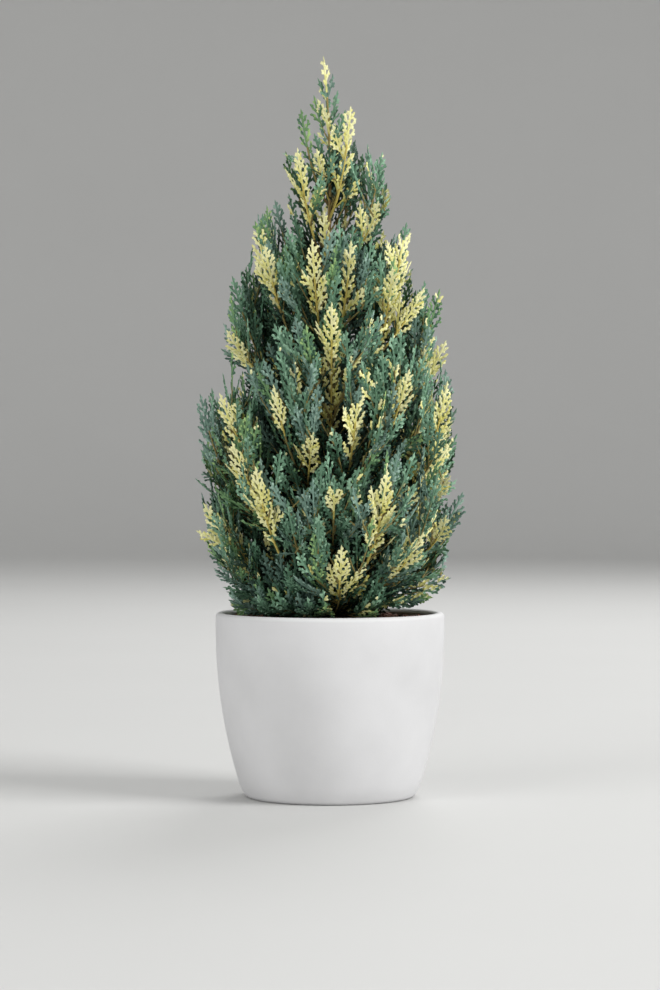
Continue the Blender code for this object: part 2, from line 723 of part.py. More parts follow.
def build_plumes(plans, space, bark, group, green, cream):
    """Each plume of foliage as one solid: stem, side twigs and sprays fused."""
    outline = profile_curve("twig_outline", TWIG_SIDES)
    bpy.context.scene.collection.objects.link(outline)
    fusing = collection("fusing")
    for plan in plans:
        row = plan["row"]
        rng = random.Random("sprays of " + row.name)
        leader = row.name == "leader_tip"
        foot = TRUNK_TOP_RADIUS if leader else STEM_FOOT_RADIUS
        count = LEADER_SPRAYS if leader else BACK_SPRAYS if row.name.startswith("back") else LEAD_SPRAYS
        radii = tapered(len(plan["stem"]), foot, STEM_TIP_RADIUS)
        lead = limb(row.name, plan["stem"], radii, outline, group, row.roll)
        if not leader and not row.on_bough:
            seat_on(lead, plan["stem"][0], bark)
        shoots = [(lead, plan["stem"], row.roll, count)]
        for i, twig in enumerate(plan["twigs"]):
            radii = [STEM_TIP_RADIUS] + tapered(TWIG_RINGS - 1, TWIG_RADIUS, STEM_TIP_RADIUS)
            roll = row.roll + rng.uniform(*FORK_ROLL)
            shoots.append((limb(f"twig_{i}", twig, radii, outline, fusing, roll), twig, roll, FORK_SPRAYS))
        sprays = []
        limbs = [surface(shoot[0]) for shoot in shoots]
        for i, (_, path, roll, count) in enumerate(shoots):
            scale = LEADER_REACH if leader else min(1.0, line_length(path) / FULL_SHOOT)
            others = sprays + limbs[:i] + limbs[i + 1 :]
            sprays += sprays_on(row.name, path, roll, count, scale, space, fusing, others, rng)
        stem = fused(shoots[0][0], fusing)
        stem.data.materials.clear()
        stem.data.materials.append(cream if row.name in CREAM_PLUMES else green)
    bpy.data.objects.remove(outline, do_unlink=True)
    bpy.data.collections.remove(fusing)


def main():
    """Builds the whole potted plant."""
    clear_scene()
    group = collection("potted_conifer")
    build_pot(group, material("pot_white", POT_WHITE, 0.55))
    build_soil(group, material("peat", PEAT, 0.95))
    plans, space = plan_crown()
    bark = build_limbs(plans, group, material("bark", BARK, 0.85))
    green = material("green_foliage", GREEN, 0.6)
    cream = material("cream_foliage", CREAM, 0.6)
    build_plumes(plans, space, bark, group, green, cream)


main()
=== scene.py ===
"""The looks of a young variegated conifer in a round white pot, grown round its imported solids.

Lengths are in metres and +Z is up. The origin is the centre of the pot's flat underside, and the
side of the plant with the most cream sprays faces -Y. Every plume starts from the same plan as
the solids: a lead shoot on the trunk or a bough, and side twigs that fork from it by a seeded
rule. Here each of them carries flat fronds of scale-leaf sprigs, down to single leafy knobs.
"""

import logging
import math
import random
from dataclasses import dataclass, field, fields
from enum import Enum

import bpy
import numpy as np
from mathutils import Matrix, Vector, noise


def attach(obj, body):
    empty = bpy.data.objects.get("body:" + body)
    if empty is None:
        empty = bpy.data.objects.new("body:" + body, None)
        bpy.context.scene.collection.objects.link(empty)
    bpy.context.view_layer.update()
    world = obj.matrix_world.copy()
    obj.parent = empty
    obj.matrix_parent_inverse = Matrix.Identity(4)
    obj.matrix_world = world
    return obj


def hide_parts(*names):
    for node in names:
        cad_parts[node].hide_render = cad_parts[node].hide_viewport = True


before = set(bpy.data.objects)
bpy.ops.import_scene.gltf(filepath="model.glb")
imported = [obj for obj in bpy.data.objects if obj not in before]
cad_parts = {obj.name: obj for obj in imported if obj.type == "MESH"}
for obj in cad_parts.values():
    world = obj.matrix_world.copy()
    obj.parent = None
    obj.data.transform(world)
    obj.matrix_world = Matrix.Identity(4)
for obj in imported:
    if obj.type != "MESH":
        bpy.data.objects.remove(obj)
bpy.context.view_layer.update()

Array = np.ndarray
Rng = np.random.Generator
Socket = bpy.types.NodeSocket
Piece = bpy.types.Object
Pair = tuple[float, float]
Pairs = tuple[Pair, ...]
Triple = tuple[float, float, float]
Curve = tuple[tuple[float, ...], tuple[float, ...]]
Stops = tuple[tuple[float, Triple], ...]

UP = np.array((0.0, 0.0, 1.0))
MM_TO_A_METRE = 1000.0
FULL_TURN = 2.0 * math.pi
NONE = (0.0, 0.0)
log = logging.getLogger("potted_conifer")


# Small helpers for lines and frames


def unit(vectors: Array) -> Array:
    """The same directions at length one."""
    return vectors / np.maximum(np.linalg.norm(vectors, axis=-1, keepdims=True), 1e-12)


def lengths_along(line: Array) -> Array:
    """The distance of each point of a line from its start."""
    steps = np.linalg.norm(np.diff(line, axis=0), axis=1)
    return np.concatenate(([0.0], np.cumsum(steps)))


def spaced(line: Array, count: int) -> Array:
    """The same line with its points spread evenly along it."""
    along = lengths_along(line)
    return sampled(line, np.linspace(0.0, 1.0, count), along / along[-1])


def sampled(values: Array, shares: Array, marks: Array | None = None) -> Array:
    """Values of a line's points read at shares of its length."""
    marks = np.linspace(0.0, 1.0, len(values)) if marks is None else marks
    return np.stack([np.interp(shares, marks, values[:, k]) for k in range(3)], axis=-1)


def bend(start: Array, middle: Array, end: Array, count: int = 25) -> Array:
    """Points along a curve that leaves start towards middle and comes into end from it."""
    t = np.linspace(0.0, 1.0, count)[:, None]
    return (1 - t) ** 2 * start + 2 * t * (1 - t) * middle + t**2 * end


def outward(azimuth: float) -> Array:
    """The level direction at an azimuth in degrees, from -Y towards +X."""
    turn = math.radians(azimuth)
    return np.array((math.sin(turn), -math.cos(turn), 0.0))


def turned_about(vectors: Array, axes: Array, angles: Array) -> Array:
    """Vectors at right angles to their unit axes, turned about them by angles in radians."""
    angles = np.asarray(angles)[..., None]
    return vectors * np.cos(angles) + np.cross(axes, vectors) * np.sin(angles)


def frames_of(line: Array, roll: float, near_axis: float = 0.004) -> tuple[Array, Array, Array]:
    """The directions that a shoot's foliage follows at each of its points.

    Args:
        line: The shoot's points.
        roll: How far its flat side is turned about it, in degrees.
        near_axis: How near to the plant's axis a point is taken to face the front.

    Returns:
        The way along, the way in which its foliage spreads, and the way its flat side faces.
    """
    along = unit(np.gradient(line, axis=0))
    flat = line * (1.0, 1.0, 0.0)
    flat[np.linalg.norm(flat, axis=1) < near_axis] = (0.0, -1.0, 0.0)
    level = np.cross(unit(flat), UP)
    spread = unit(level - along * np.sum(level * along, axis=1, keepdims=True))
    spread = turned_about(spread, along, np.full(len(line), math.radians(roll)))
    return along, spread, np.cross(along, spread)


def facing_front(place: Array) -> float:
    """The roll that turns an upright frond's flat side to the front or the back.

    Args:
        place: Where its tip is.

    Returns:
        The roll in degrees.
    """
    azimuth = math.degrees(math.atan2(place[0], -place[1]))
    if abs(azimuth) <= 90.0:
        return -azimuth
    return math.copysign(180.0, azimuth) - azimuth


# Finishes


class Tint(Enum):
    """The plain colours that are dealt out by spray: a name and its linear red, green and blue."""

    # The shade and deep tints are the low levels that sprays deep in the crown fall to, as painted shade.
    SHADE_GREEN = ("shade_green", (0.007, 0.020, 0.009))
    DEEP_GREEN = ("deep_green", (0.026, 0.068, 0.036))
    BLUE_GREEN = ("blue_green", (0.070, 0.154, 0.092))
    SEA_GREEN = ("sea_green", (0.142, 0.272, 0.174))
    FROSTED_TIP = ("frosted_tip", (0.280, 0.465, 0.318))
    DEEP_SLATE = ("deep_slate", (0.028, 0.062, 0.044))
    SLATE_GREEN = ("slate_green", (0.078, 0.142, 0.110))
    PALE_SLATE = ("pale_slate", (0.160, 0.262, 0.208))
    FROSTED_SLATE = ("frosted_slate", (0.295, 0.435, 0.355))
    LEAF_GREEN = ("leaf_green", (0.076, 0.162, 0.072))
    FRESH_GREEN = ("fresh_green", (0.160, 0.295, 0.130))
    YOUNG_TIP = ("young_tip", (0.350, 0.520, 0.200))
    OLIVE_CREAM = ("olive_cream", (0.400, 0.410, 0.100))
    GOLD_CREAM = ("gold_cream", (0.680, 0.640, 0.170))
    CREAM = ("cream", (0.830, 0.800, 0.310))
    PALE_CREAM = ("pale_cream", (0.910, 0.890, 0.480))
    BROWN_STEM = ("brown_stem", (0.128, 0.092, 0.036))
    TAN_STEM = ("tan_stem", (0.265, 0.215, 0.075))
    GOLD_STEM = ("gold_stem", (0.580, 0.470, 0.120))
    GREEN_STEM = ("green_stem", (0.130, 0.200, 0.085))


GREEN_FAMILIES = (
    (Tint.SHADE_GREEN, Tint.DEEP_GREEN, Tint.BLUE_GREEN, Tint.SEA_GREEN, Tint.FROSTED_TIP),
    (Tint.SHADE_GREEN, Tint.DEEP_SLATE, Tint.SLATE_GREEN, Tint.PALE_SLATE, Tint.FROSTED_SLATE),
    (Tint.SHADE_GREEN, Tint.DEEP_GREEN, Tint.BLUE_GREEN, Tint.FRESH_GREEN, Tint.YOUNG_TIP),
    (Tint.SHADE_GREEN, Tint.DEEP_GREEN, Tint.LEAF_GREEN, Tint.FRESH_GREEN, Tint.FRESH_GREEN),
)
FAMILY_SHARES = (0.48, 0.34, 0.13, 0.05)
CREAM_FAMILY = (Tint.OLIVE_CREAM, Tint.OLIVE_CREAM, Tint.GOLD_CREAM, Tint.CREAM, Tint.PALE_CREAM)
GREEN_TINTS = tuple(dict.fromkeys(tint for family in GREEN_FAMILIES for tint in family))
CREAM_TINTS = tuple(dict.fromkeys(CREAM_FAMILY))
STEM_TINTS = (Tint.BROWN_STEM, Tint.TAN_STEM, Tint.GOLD_STEM, Tint.GREEN_STEM)


class Paint:
    """A material in the making: its shader, and the nodes that give it detail."""

    def __init__(self, name: str, roughness: float) -> None:
        """Starts a material.

        Args:
            name: Its name.
            roughness: Its even roughness, which is set on the shader's own socket.
        """
        self.material = bpy.data.materials.new(name)
        self.material.use_nodes = True
        self.tree = self.material.node_tree
        self.shader = self.tree.nodes["Principled BSDF"]
        self.shader.inputs["Roughness"].default_value = roughness

    def node(self, kind: str, inputs: dict[str, object]) -> bpy.types.Node:
        """A new node.

        Args:
            kind: Its type, without the words that every shader node's type starts with.
            inputs: A value, or a socket to link, for each input that is set.

        Returns:
            The node.
        """
        made = self.tree.nodes.new("ShaderNode" + kind)
        for name, value in inputs.items():
            if isinstance(value, Socket):
                self.tree.links.new(value, made.inputs[name])
            else:
                made.inputs[name].default_value = value
        return made

    def place(self, stretch: Triple = (1.0, 1.0, 1.0)) -> Socket:
        """A socket with a point's place on the object, in metres, stretched along its axes."""
        place = self.node("TexCoord", {}).outputs["Object"]
        return self.node("Mapping", {"Vector": place, "Scale": stretch}).outputs["Vector"]

    def pattern(self, place: Socket, scale: float, detail: float = 3.0) -> Socket:
        """A noise pattern of so many features to a metre."""
        return self.node("TexNoise", {"Vector": place, "Scale": scale, "Detail": detail}).outputs["Fac"]

    def ramp(self, value: Socket, stops: Stops) -> Socket:
        """Colours dealt out over a value.

        Args:
            value: The socket that is read.
            stops: Pairs of a value from 0 to 1 and a linear colour.

        Returns:
            The socket with the colour.
        """
        node = self.node("ValToRGB", {"Fac": value})
        while len(node.color_ramp.elements) < len(stops):
            node.color_ramp.elements.new(0.5)
        for element, (share, colour) in zip(node.color_ramp.elements, stops):
            element.position = share
            element.color = (*colour, 1.0)
        return node.outputs["Color"]

    def colour(self, colour: Socket) -> None:
        """Colours the shader from a socket."""
        self.tree.links.new(colour, self.shader.inputs["Base Color"])

    def relief(self, height: Socket, depth: float, strength: float) -> None:
        """Gives the finish fine relief from a height pattern, with its depth in metres."""
        bump = self.node("Bump", {"Height": height, "Distance": depth, "Strength": strength})
        self.tree.links.new(bump.outputs["Normal"], self.shader.inputs["Normal"])

    def blend_by_height(self, colours: tuple[Socket, Socket], heights: Pair) -> None:
        """Colours the finish from one socket low down to another higher up.

        Args:
            colours: The lower and the upper colour.
            heights: Where the lower one ends and the upper one begins, in metres.
        """
        height = self.node("SeparateXYZ", {"Vector": self.place()}).outputs["Z"]
        share = self.node("MapRange", {"Value": height, "From Min": heights[0], "From Max": heights[1]})
        mix = self.node("Mix", {"Factor": share.outputs["Result"]})
        mix.data_type = "RGBA"
        for colour, end in zip(colours, (socket for socket in mix.inputs if socket.type == "RGBA")):
            self.tree.links.new(colour, end)
        self.colour(next(socket for socket in mix.outputs if socket.type == "RGBA"))


@dataclass(frozen=True)
class LeafFinish:
    """Scale leaves of one plain tint, with a waxy bloom and tiny overlapping scales in relief."""

    tint: Tint
    roughness: float = 0.52
    specular: float = 0.22
    scales_to_a_metre: float = 1400.0
    depth: float = 0.00025
    strength: float = 0.5

    def make(self) -> bpy.types.Material:
        """Makes the finish.

        Returns:
            The material.
        """
        name, colour = self.tint.value
        paint = Paint(name, self.roughness)
        paint.shader.inputs["Base Color"].default_value = (*colour, 1.0)
        paint.shader.inputs["Specular IOR Level"].default_value = self.specular
        scales = paint.node("TexVoronoi", {"Vector": paint.place(), "Scale": self.scales_to_a_metre})
        paint.relief(scales.outputs["Distance"], self.depth, self.strength)
        return paint.material


@dataclass(frozen=True)
class GrainFinish:
    """A dull surface with one grain that sets its colour, and its relief where it has any.

    Where it has upper tones, they take over from the others between the two heights.
    """

    name: str
    roughness: float
    grain_to_a_metre: float
    detail: float
    tones: Stops
    depth: float = 0.0
    strength: float = 0.0
    stretch: Triple = (1.0, 1.0, 1.0)
    upper_tones: Stops = ()
    heights: Pair = NONE

    def make(self) -> bpy.types.Material:
        """Makes the finish.

        Returns:
            The material.
        """
        paint = Paint(self.name, self.roughness)
        grain = paint.pattern(paint.place(self.stretch), self.grain_to_a_metre, self.detail)
        colour = paint.ramp(grain, self.tones)
        if self.upper_tones:
            paint.blend_by_height((colour, paint.ramp(grain, self.upper_tones)), self.heights)
        else:
            paint.colour(colour)
        if self.depth:
            paint.relief(grain, self.depth, self.strength)
        return paint.material


@dataclass(frozen=True)
class PotFinish:
    """Matt white ceramic with a faint cloudy mottle and a very fine grain."""

    name: str = "matt_white_ceramic"
    roughness: float = 0.62
    specular: float = 0.35
    clouds_to_a_metre: float = 17.0
    cloud_detail: float = 5.0
    tones: Stops = (
        (0.30, (0.608, 0.606, 0.612)),
        (0.50, (0.654, 0.652, 0.659)),
        (0.70, (0.692, 0.690, 0.698)),
    )
    grain_to_a_metre: float = 900.0
    grain_detail: float = 4.0
    depth: float = 0.00012
    strength: float = 0.35

    def make(self) -> bpy.types.Material:
        """Makes the finish.

        Returns:
            The material.
        """
        paint = Paint(self.name, self.roughness)
        paint.shader.inputs["Specular IOR Level"].default_value = self.specular
        place = paint.place()
        paint.colour(paint.ramp(paint.pattern(place, self.clouds_to_a_metre, self.cloud_detail), self.tones))
        grain = paint.pattern(place, self.grain_to_a_metre, self.grain_detail)
        paint.relief(grain, self.depth, self.strength)
        return paint.material


BARK = GrainFinish(
    "fibrous_bark", 0.86, 1.0, 6.0,
    ((0.30, (0.045, 0.022, 0.012)), (0.52, (0.150, 0.080, 0.038)), (0.72, (0.290, 0.185, 0.100))),
    0.0006, 0.8, (600.0, 600.0, 60.0),
    ((0.30, (0.150, 0.090, 0.030)), (0.52, (0.290, 0.200, 0.075)), (0.72, (0.420, 0.320, 0.130))),
    (0.230, 0.370),
)
# The inner wall: greyish brown low down, white from just under the lip up.
BROWN_INNER_WALL = GrainFinish(
    "stained_inner_wall", 0.85, 110.0, 6.0,
    ((0.30, (0.255, 0.200, 0.155)), (0.70, (0.390, 0.330, 0.265))),
    upper_tones=((0.30, (0.62, 0.61, 0.60)), (0.70, (0.68, 0.67, 0.66))),
    heights=(0.1184, 0.1200),
)
PEAT = GrainFinish(
    "dark_peat", 0.95, 420.0, 8.0,
    ((0.30, (0.010, 0.006, 0.004)), (0.55, (0.042, 0.022, 0.014)), (0.75, (0.110, 0.055, 0.035))),
    0.0012, 0.9,
)
CHIPS = tuple(
    GrainFinish(name, 0.9, 900.0, 5.0, ((0.32, dark), (0.70, light)), 0.0005, 0.7, (1.0, 0.35, 1.0))
    for name, dark, light in (
        ("red_brown_chip", (0.040, 0.014, 0.008), (0.190, 0.072, 0.042)),
        ("dark_chip", (0.012, 0.007, 0.005), (0.080, 0.038, 0.026)),
        ("tan_chip", (0.085, 0.038, 0.022), (0.300, 0.150, 0.092)),
    )
)
CHIP_SHARES = (0.45, 0.35, 0.20)
PALE_FLOOR = GrainFinish(
    "pale_floor", 0.8, 3.0, 3.0, ((0.3, (0.56145, 0.56145, 0.5516)), (0.7, (0.57, 0.57, 0.56)))
)


# Meshes from many small shapes


class Heap:
    """Gathers many small shapes, each with a tint, and makes them one mesh."""

    def __init__(self) -> None:
        """An empty heap."""
        self.points: list[Array] = []
        self.faces: list[Array] = []
        self.tints: list[Array] = []
        self.count = 0

    def add(self, points: Array, faces: Array, tints: Array) -> None:
        """Adds shapes that share one set of faces.

        Args:
            points: Corners of each shape, as shapes x corners x 3.
            faces: Triangles over one shape's corners.
            tints: A tint number for each shape, or for each of its faces.
        """
        shapes, corners = points.shape[:2]
        if not shapes:
            return
        starts = self.count + corners * np.arange(shapes)
        self.points.append(points.reshape(-1, 3))
        self.faces.append((faces[None] + starts[:, None, None]).reshape(-1, 3))
        tints = tints[:, None] if tints.ndim == 1 else tints
        self.tints.append(np.broadcast_to(tints, (shapes, len(faces))).reshape(-1))
        self.count += shapes * corners

    def piece(self, name: str, finishes: list[bpy.types.Material], smooth: bool = True) -> Piece:
        """The heap as one object."""
        points, faces, tints = (np.concatenate(part) for part in (self.points, self.faces, self.tints))
        return mesh_piece(name, points, faces, tints, finishes, smooth)


def mesh_piece(
    name: str, points: Array, faces: Array, tints: Array | None, finishes: list[bpy.types.Material],
    smooth: bool = True,
) -> Piece:
    """An object from arrays of corners and faces.

    Args:
        name: The piece's name.
        points: Its corners.
        faces: Its triangles.
        tints: The number of each face's finish, or None for the first.
        finishes: The materials of its slots.
        smooth: Whether it is shaded smooth.

    Returns:
        The object, linked to the scene.
    """
    mesh = bpy.data.meshes.new(name)
    mesh.vertices.add(len(points))
    mesh.vertices.foreach_set("co", np.ascontiguousarray(points, np.float32).ravel())
    mesh.loops.add(faces.size)
    mesh.loops.foreach_set("vertex_index", np.ascontiguousarray(faces, np.int32).ravel())
    mesh.polygons.add(len(faces))
    mesh.polygons.foreach_set("loop_start", np.arange(0, faces.size, 3, dtype=np.int32))
    for finish in finishes:
        mesh.materials.append(finish)
    if tints is not None:
        mesh.polygons.foreach_set("material_index", np.ascontiguousarray(tints, np.int32))
    mesh.polygons.foreach_set("use_smooth", np.full(len(faces), smooth))
    mesh.update(calc_edges=True)
    mesh.validate()
    piece = bpy.data.objects.new(name, mesh)
    bpy.context.scene.collection.objects.link(piece)
    return piece


def put_in_place(piece: Piece, slot: str, *nodes: str) -> None:
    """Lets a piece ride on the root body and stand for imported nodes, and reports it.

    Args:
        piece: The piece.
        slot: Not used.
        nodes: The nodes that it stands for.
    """
    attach(piece, "root")
    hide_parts(*nodes)
    log.info("%s: %d triangles", piece.name, len(piece.data.polygons))


def tube_faces(rings: int, sides: int) -> Array:
    """Triangles of a tube of rings that ends in a point, with its foot left open.

    Args:
        rings: How many rings it has.
        sides: How many corners a ring has.

    Returns:
        The triangles.
    """
    found = []
    for ring in range(rings - 1):
        for side in range(sides):
            a, b = ring * sides + side, ring * sides + (side + 1) % sides
            found += [(a, b, b + sides), (a, b + sides, a + sides)]
    last, tip = (rings - 1) * sides, rings * sides
    found += [(last + side, last + (side + 1) % sides, tip) for side in range(sides)]
    return np.array(found)


def tube_points(lines: Array, ways: tuple[Array, Array], radius: Array, sides: int, tips: Array) -> Array:
    """Corners of round tubes, one for each line.

    Args:
        lines: Points of each tube's line, as tubes x rings x 3.
        ways: Two directions across the line at each point, at right angles to each other.
        radius: The radius at each point.
        sides: How many corners a ring has.
        tips: Each tube's end point.

    Returns:
        The corners, as tubes x (rings x sides + 1) x 3.
    """
    turns = FULL_TURN * np.arange(sides) / sides
    across, facing = ways
    rim = across[:, :, None] * (radius[:, :, None] * np.cos(turns))[..., None]
    rim = rim + facing[:, :, None] * (radius[:, :, None] * np.sin(turns))[..., None]
    rings = (lines[:, :, None] + rim).reshape(len(lines), -1, 3)
    return np.concatenate((rings, tips[:, None]), axis=1)


def strip_faces(rings: int) -> Array:
    """Triangles of a leafy strip with a raised midline, which ends in a point.

    Args:
        rings: How many rows of three corners it has.

    Returns:
        The triangles, two pairs for each step and four sides in all at its tip.
    """
    found = []
    for ring in range(rings - 1):
        for corner in (3 * ring, 3 * ring + 1):
            found += [(corner, corner + 3, corner + 4), (corner, corner + 4, corner + 1)]
    last, tip = 3 * (rings - 1), 3 * rings
    return np.array([*found, (last, tip, last + 1), (last + 1, tip, last + 2)])


def strip_points(lines: Array, ways: tuple[Array, Array], half: Array, ridge: Array, tips: Array) -> Array:
    """Corners of leafy strips, each a roof over its line.

    Args:
        lines: Points of each strip's line, as strips x rings x 3.
        ways: The direction to its right edge at each point, and the one its midline is raised in.
        half: Half its width at each point.
        ridge: How high its midline stands over its edges.
        tips: Each strip's end point.

    Returns:
        The corners, as strips x (rings x 3 + 1) x 3.
    """
    across, facing = ways
    wide, high = across * half[..., None], facing * (0.5 * ridge[..., None])
    rings = np.stack((lines - wide - high, lines + high, lines + wide - high), axis=2)
    return np.concatenate((rings.reshape(len(lines), 3 * lines.shape[1], 3), tips[:, None]), axis=1)


@dataclass(frozen=True)
class SprigShape:
    """A leafy sprig: a blunt strip with knobs at its sides, as one small shape in its own frame.

    Each knob is the share of the sprig at which it starts, its turn in degrees and its length.
    """

    length: float
    knobs: tuple[Triple, ...] = ()
    half_width: float = 0.00082
    ridge: float = 0.00064
    rings: Pairs = ((0.0, 0.80), (0.45, 0.95), (0.82, 0.88))
    knob_rings: Pairs = ((0.0, 0.70), (0.68, 1.02))

    def strip(self, start: float, turn: float, length: float, rings: Pairs) -> tuple[Array, Array]:
        """One strip that starts on the sprig's line.

        Args:
            start: The share of the sprig at which it starts.
            turn: Its turn from the sprig's line, in degrees.
            length: Its length.
            rings: Pairs of a share of its length and its width there.

        Returns:
            Its corners and triangles.
        """
        heading = np.array((math.cos(math.radians(turn)), math.sin(math.radians(turn)), 0.0))
        across = np.array((-heading[1], heading[0], 0.0))
        foot = np.array((start * self.length, 0.0, 0.0))
        line = np.array([foot + heading * (share * length) for share, _ in rings])[None]
        grow = np.array([width for _, width in rings])[None]
        ways = tuple(np.broadcast_to(way, line.shape) for way in (across, UP))
        tip = (foot + heading * length)[None]
        points = strip_points(line, ways, grow * self.half_width, grow * self.ridge, tip)[0]
        return points, strip_faces(len(rings))

    def make(self) -> tuple[Array, Array]:
        """The whole sprig.

        Returns:
            Its corners and triangles.
        """
        points, faces = self.strip(0.0, 0.0, self.length, self.rings)
        for start, turn, length in self.knobs:
            more, sides = self.strip(start, turn, length, self.knob_rings)
            faces = np.concatenate((faces, sides + len(points)))
            points = np.concatenate((points, more))
        return points, faces


def mirrored(length: float, knobs: tuple[Triple, ...]) -> tuple[SprigShape, SprigShape]:
    """A sprig and the same sprig with its knobs on the other sides."""
    other = tuple((start, -turn, size) for start, turn, size in knobs)
    return SprigShape(length, knobs), SprigShape(length, other)


SPRIGS = (
    (SprigShape(0.0022, rings=((0.0, 0.80), (0.66, 1.0))),),
    mirrored(0.0034, ((0.30, 40, 0.0020),)),
    mirrored(0.0047, ((0.20, 40, 0.0023), (0.46, -38, 0.0019))),
    mirrored(0.0064, ((0.16, 40, 0.0028), (0.34, -38, 0.0025), (0.56, 36, 0.0020))),
)
SPRIG_LIMITS = (0.0027, 0.0040, 0.0054)


# The crown's plan


@dataclass(frozen=True)
class Plume:
    """One plume of the crown's plan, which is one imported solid.

    Azimuth is in degrees from -Y towards +X, heights and runs are in millimetres, and share is
    how much of the crown's radius its tip reaches. Forks are side twigs: the turn in degrees and
    the drop of their tips. The cream run is the stretch that carries cream sprays, measured down
    from the tip, and cream_forks says which forks are cream.
    """

    name: str
    azimuth: float
    tip: float
    share: float
    foot: float
    on_bough: bool = False
    out: float = 0.67
    up: float = 0.25
    roll: float = 0.0
    forks: Pairs = ((-16, 26), (15, 34))
    cream: Pair = (0, 0)
    cream_forks: tuple[int, ...] = ()
    breadth: float = 1.0


FRONT_PLUMES = (
    Plume("top_left", -75, 449, 0.95, 388, roll=50, forks=(), breadth=0.80),
    Plume("top_right", 45, 450, 0.95, 380, roll=-30, forks=((-70, 30),), cream=(0, 75), breadth=0.80),
    Plume("upper_left", -43, 422, 0.90, 345, roll=20, forks=((25, 24),), cream=(0, 56), breadth=0.75),
    Plume("upper_right", 80, 421, 1.00, 330, roll=-65, forks=((-30, 34), (26, 26)), cream_forks=(0,)),
    Plume("left_shoulder", -67, 375, 0.97, 268, roll=50,
          forks=((16, 17), (-20, 40)), cream=(12, 52), cream_forks=(0,)),
    Plume("high_front_left", -12, 361, 0.93, 272, forks=((-17, 30), (13, 38)), cream=(0, 52), breadth=0.85),
    Plume("high_front_right", 14, 360, 0.93, 280, roll=-25, forks=((16, 28),), cream=(0, 50), breadth=0.80),
    Plume("right_shoulder", 68, 374, 0.98, 240, roll=-50,
          forks=((5, 42), (-22, 30)), cream=(12, 85), cream_forks=(0, 1)),
    Plume("right_wing", 90, 332, 1.05, 196, roll=-70, forks=((-6, 34), (18, 30)), cream_forks=(0,)),
    Plume("left_wing", -84, 340, 0.97, 230, roll=60, forks=((17, 36), (-16, 30)), cream_forks=(0,)),
    Plume("front_centre", 1, 320, 0.93, 212, forks=((-14, 34), (13, 28)), cream=(0, 95)),
    Plume("left_outer", -92, 263, 1.03, 138, True, 0.74, 0.18, 65, ((-13, 30), (12, 50))),
    Plume("left_middle", -62, 263, 0.97, 172, roll=35, forks=((14, 26), (-12, 44)), cream=(0, 40)),
    Plume("front_left_middle", -28, 268, 0.93, 182, roll=-15,
          forks=((15, 2), (20, 30)), cream=(0, 34), cream_forks=(1,)),
    Plume("front_right_middle", 14, 267, 0.93, 176, roll=20, forks=((12, 32), (-13, 26)), cream=(12, 46)),
    Plume("right_middle", 43, 278, 0.92, 188, roll=-25, forks=((-13, 28), (13, 40)), cream=(0, 38)),
    Plume("right_outer", 72, 271, 0.98, 138, True, 0.74, 0.18, -62, ((12, -8), (-12, 30)), (0, 95)),
    Plume("left_low", -50, 232, 0.95, 152, roll=25, forks=((-13, 30), (11, 44)), cream=(0, 58)),
    Plume("front_left_low", -35, 216, 0.95, 128, True, 0.76, 0.14, 10, ((-12, 34), (10, 46)), (0, 58)),
    Plume("right_side_low", 86, 237, 0.97, 152, roll=-65, forks=((-13, 27), (13, 30)), cream_forks=(0,)),
    Plume(
        "right_skirt", 83, 199, 1.00, 131.5, True, 0.70, 0.08, -60, ((-20, 14), (-4, 37)), cream_forks=(0,)
    ),
    Plume("front_right_low", 26, 214, 0.95, 128, True, 0.78, 0.12, -10, ((14, 30), (-11, 40)), (0, 62)),
    Plume("front_low", 2, 209, 0.93, 146, out=0.72, up=0.20, roll=10,
          forks=((12, 26), (-14, 30)), cream=(9, 26)),
    Plume(
        "front_left_skirt", -19, 195, 0.95, 137, True, 0.76, 0.12, -10, ((10, 6), (-9, 34)), cream_forks=(0,)
    ),
    Plume("front_foot", 6, 166, 0.86, 122, out=0.90, up=0.10,
          forks=((13, 12), (-12, 18)), cream=(0, 42), cream_forks=(0,)),
    Plume("left_skirt", -76, 192, 0.97, 131, out=0.68, up=0.16, roll=65,
          forks=((-16, 14), (12, 20)), cream=(0, 60)),
    Plume("left_foot", -86, 166, 0.96, 125, out=0.60, up=0.24, roll=25, forks=((10, 26), (-14, 18))),
    Plume("right_foot", 92, 145, 1.00, 126, out=0.50, up=0.80, roll=55, forks=((-14, -4), (13, 2))),
    Plume("front_right_skirt", 50, 174, 0.93, 124.5, out=0.68, up=0.18, roll=-35,
          forks=((12, 12), (-13, 16)), cream=(0, 36)),
)
BACK_CREAM = (
    "back_top_1", "back_upper_2", "back_high_1", "back_shoulder_1", "back_shoulder_3",
    "back_middle_1", "back_middle_2", "back_low_1", "back_low_3", "back_foot_2",
)


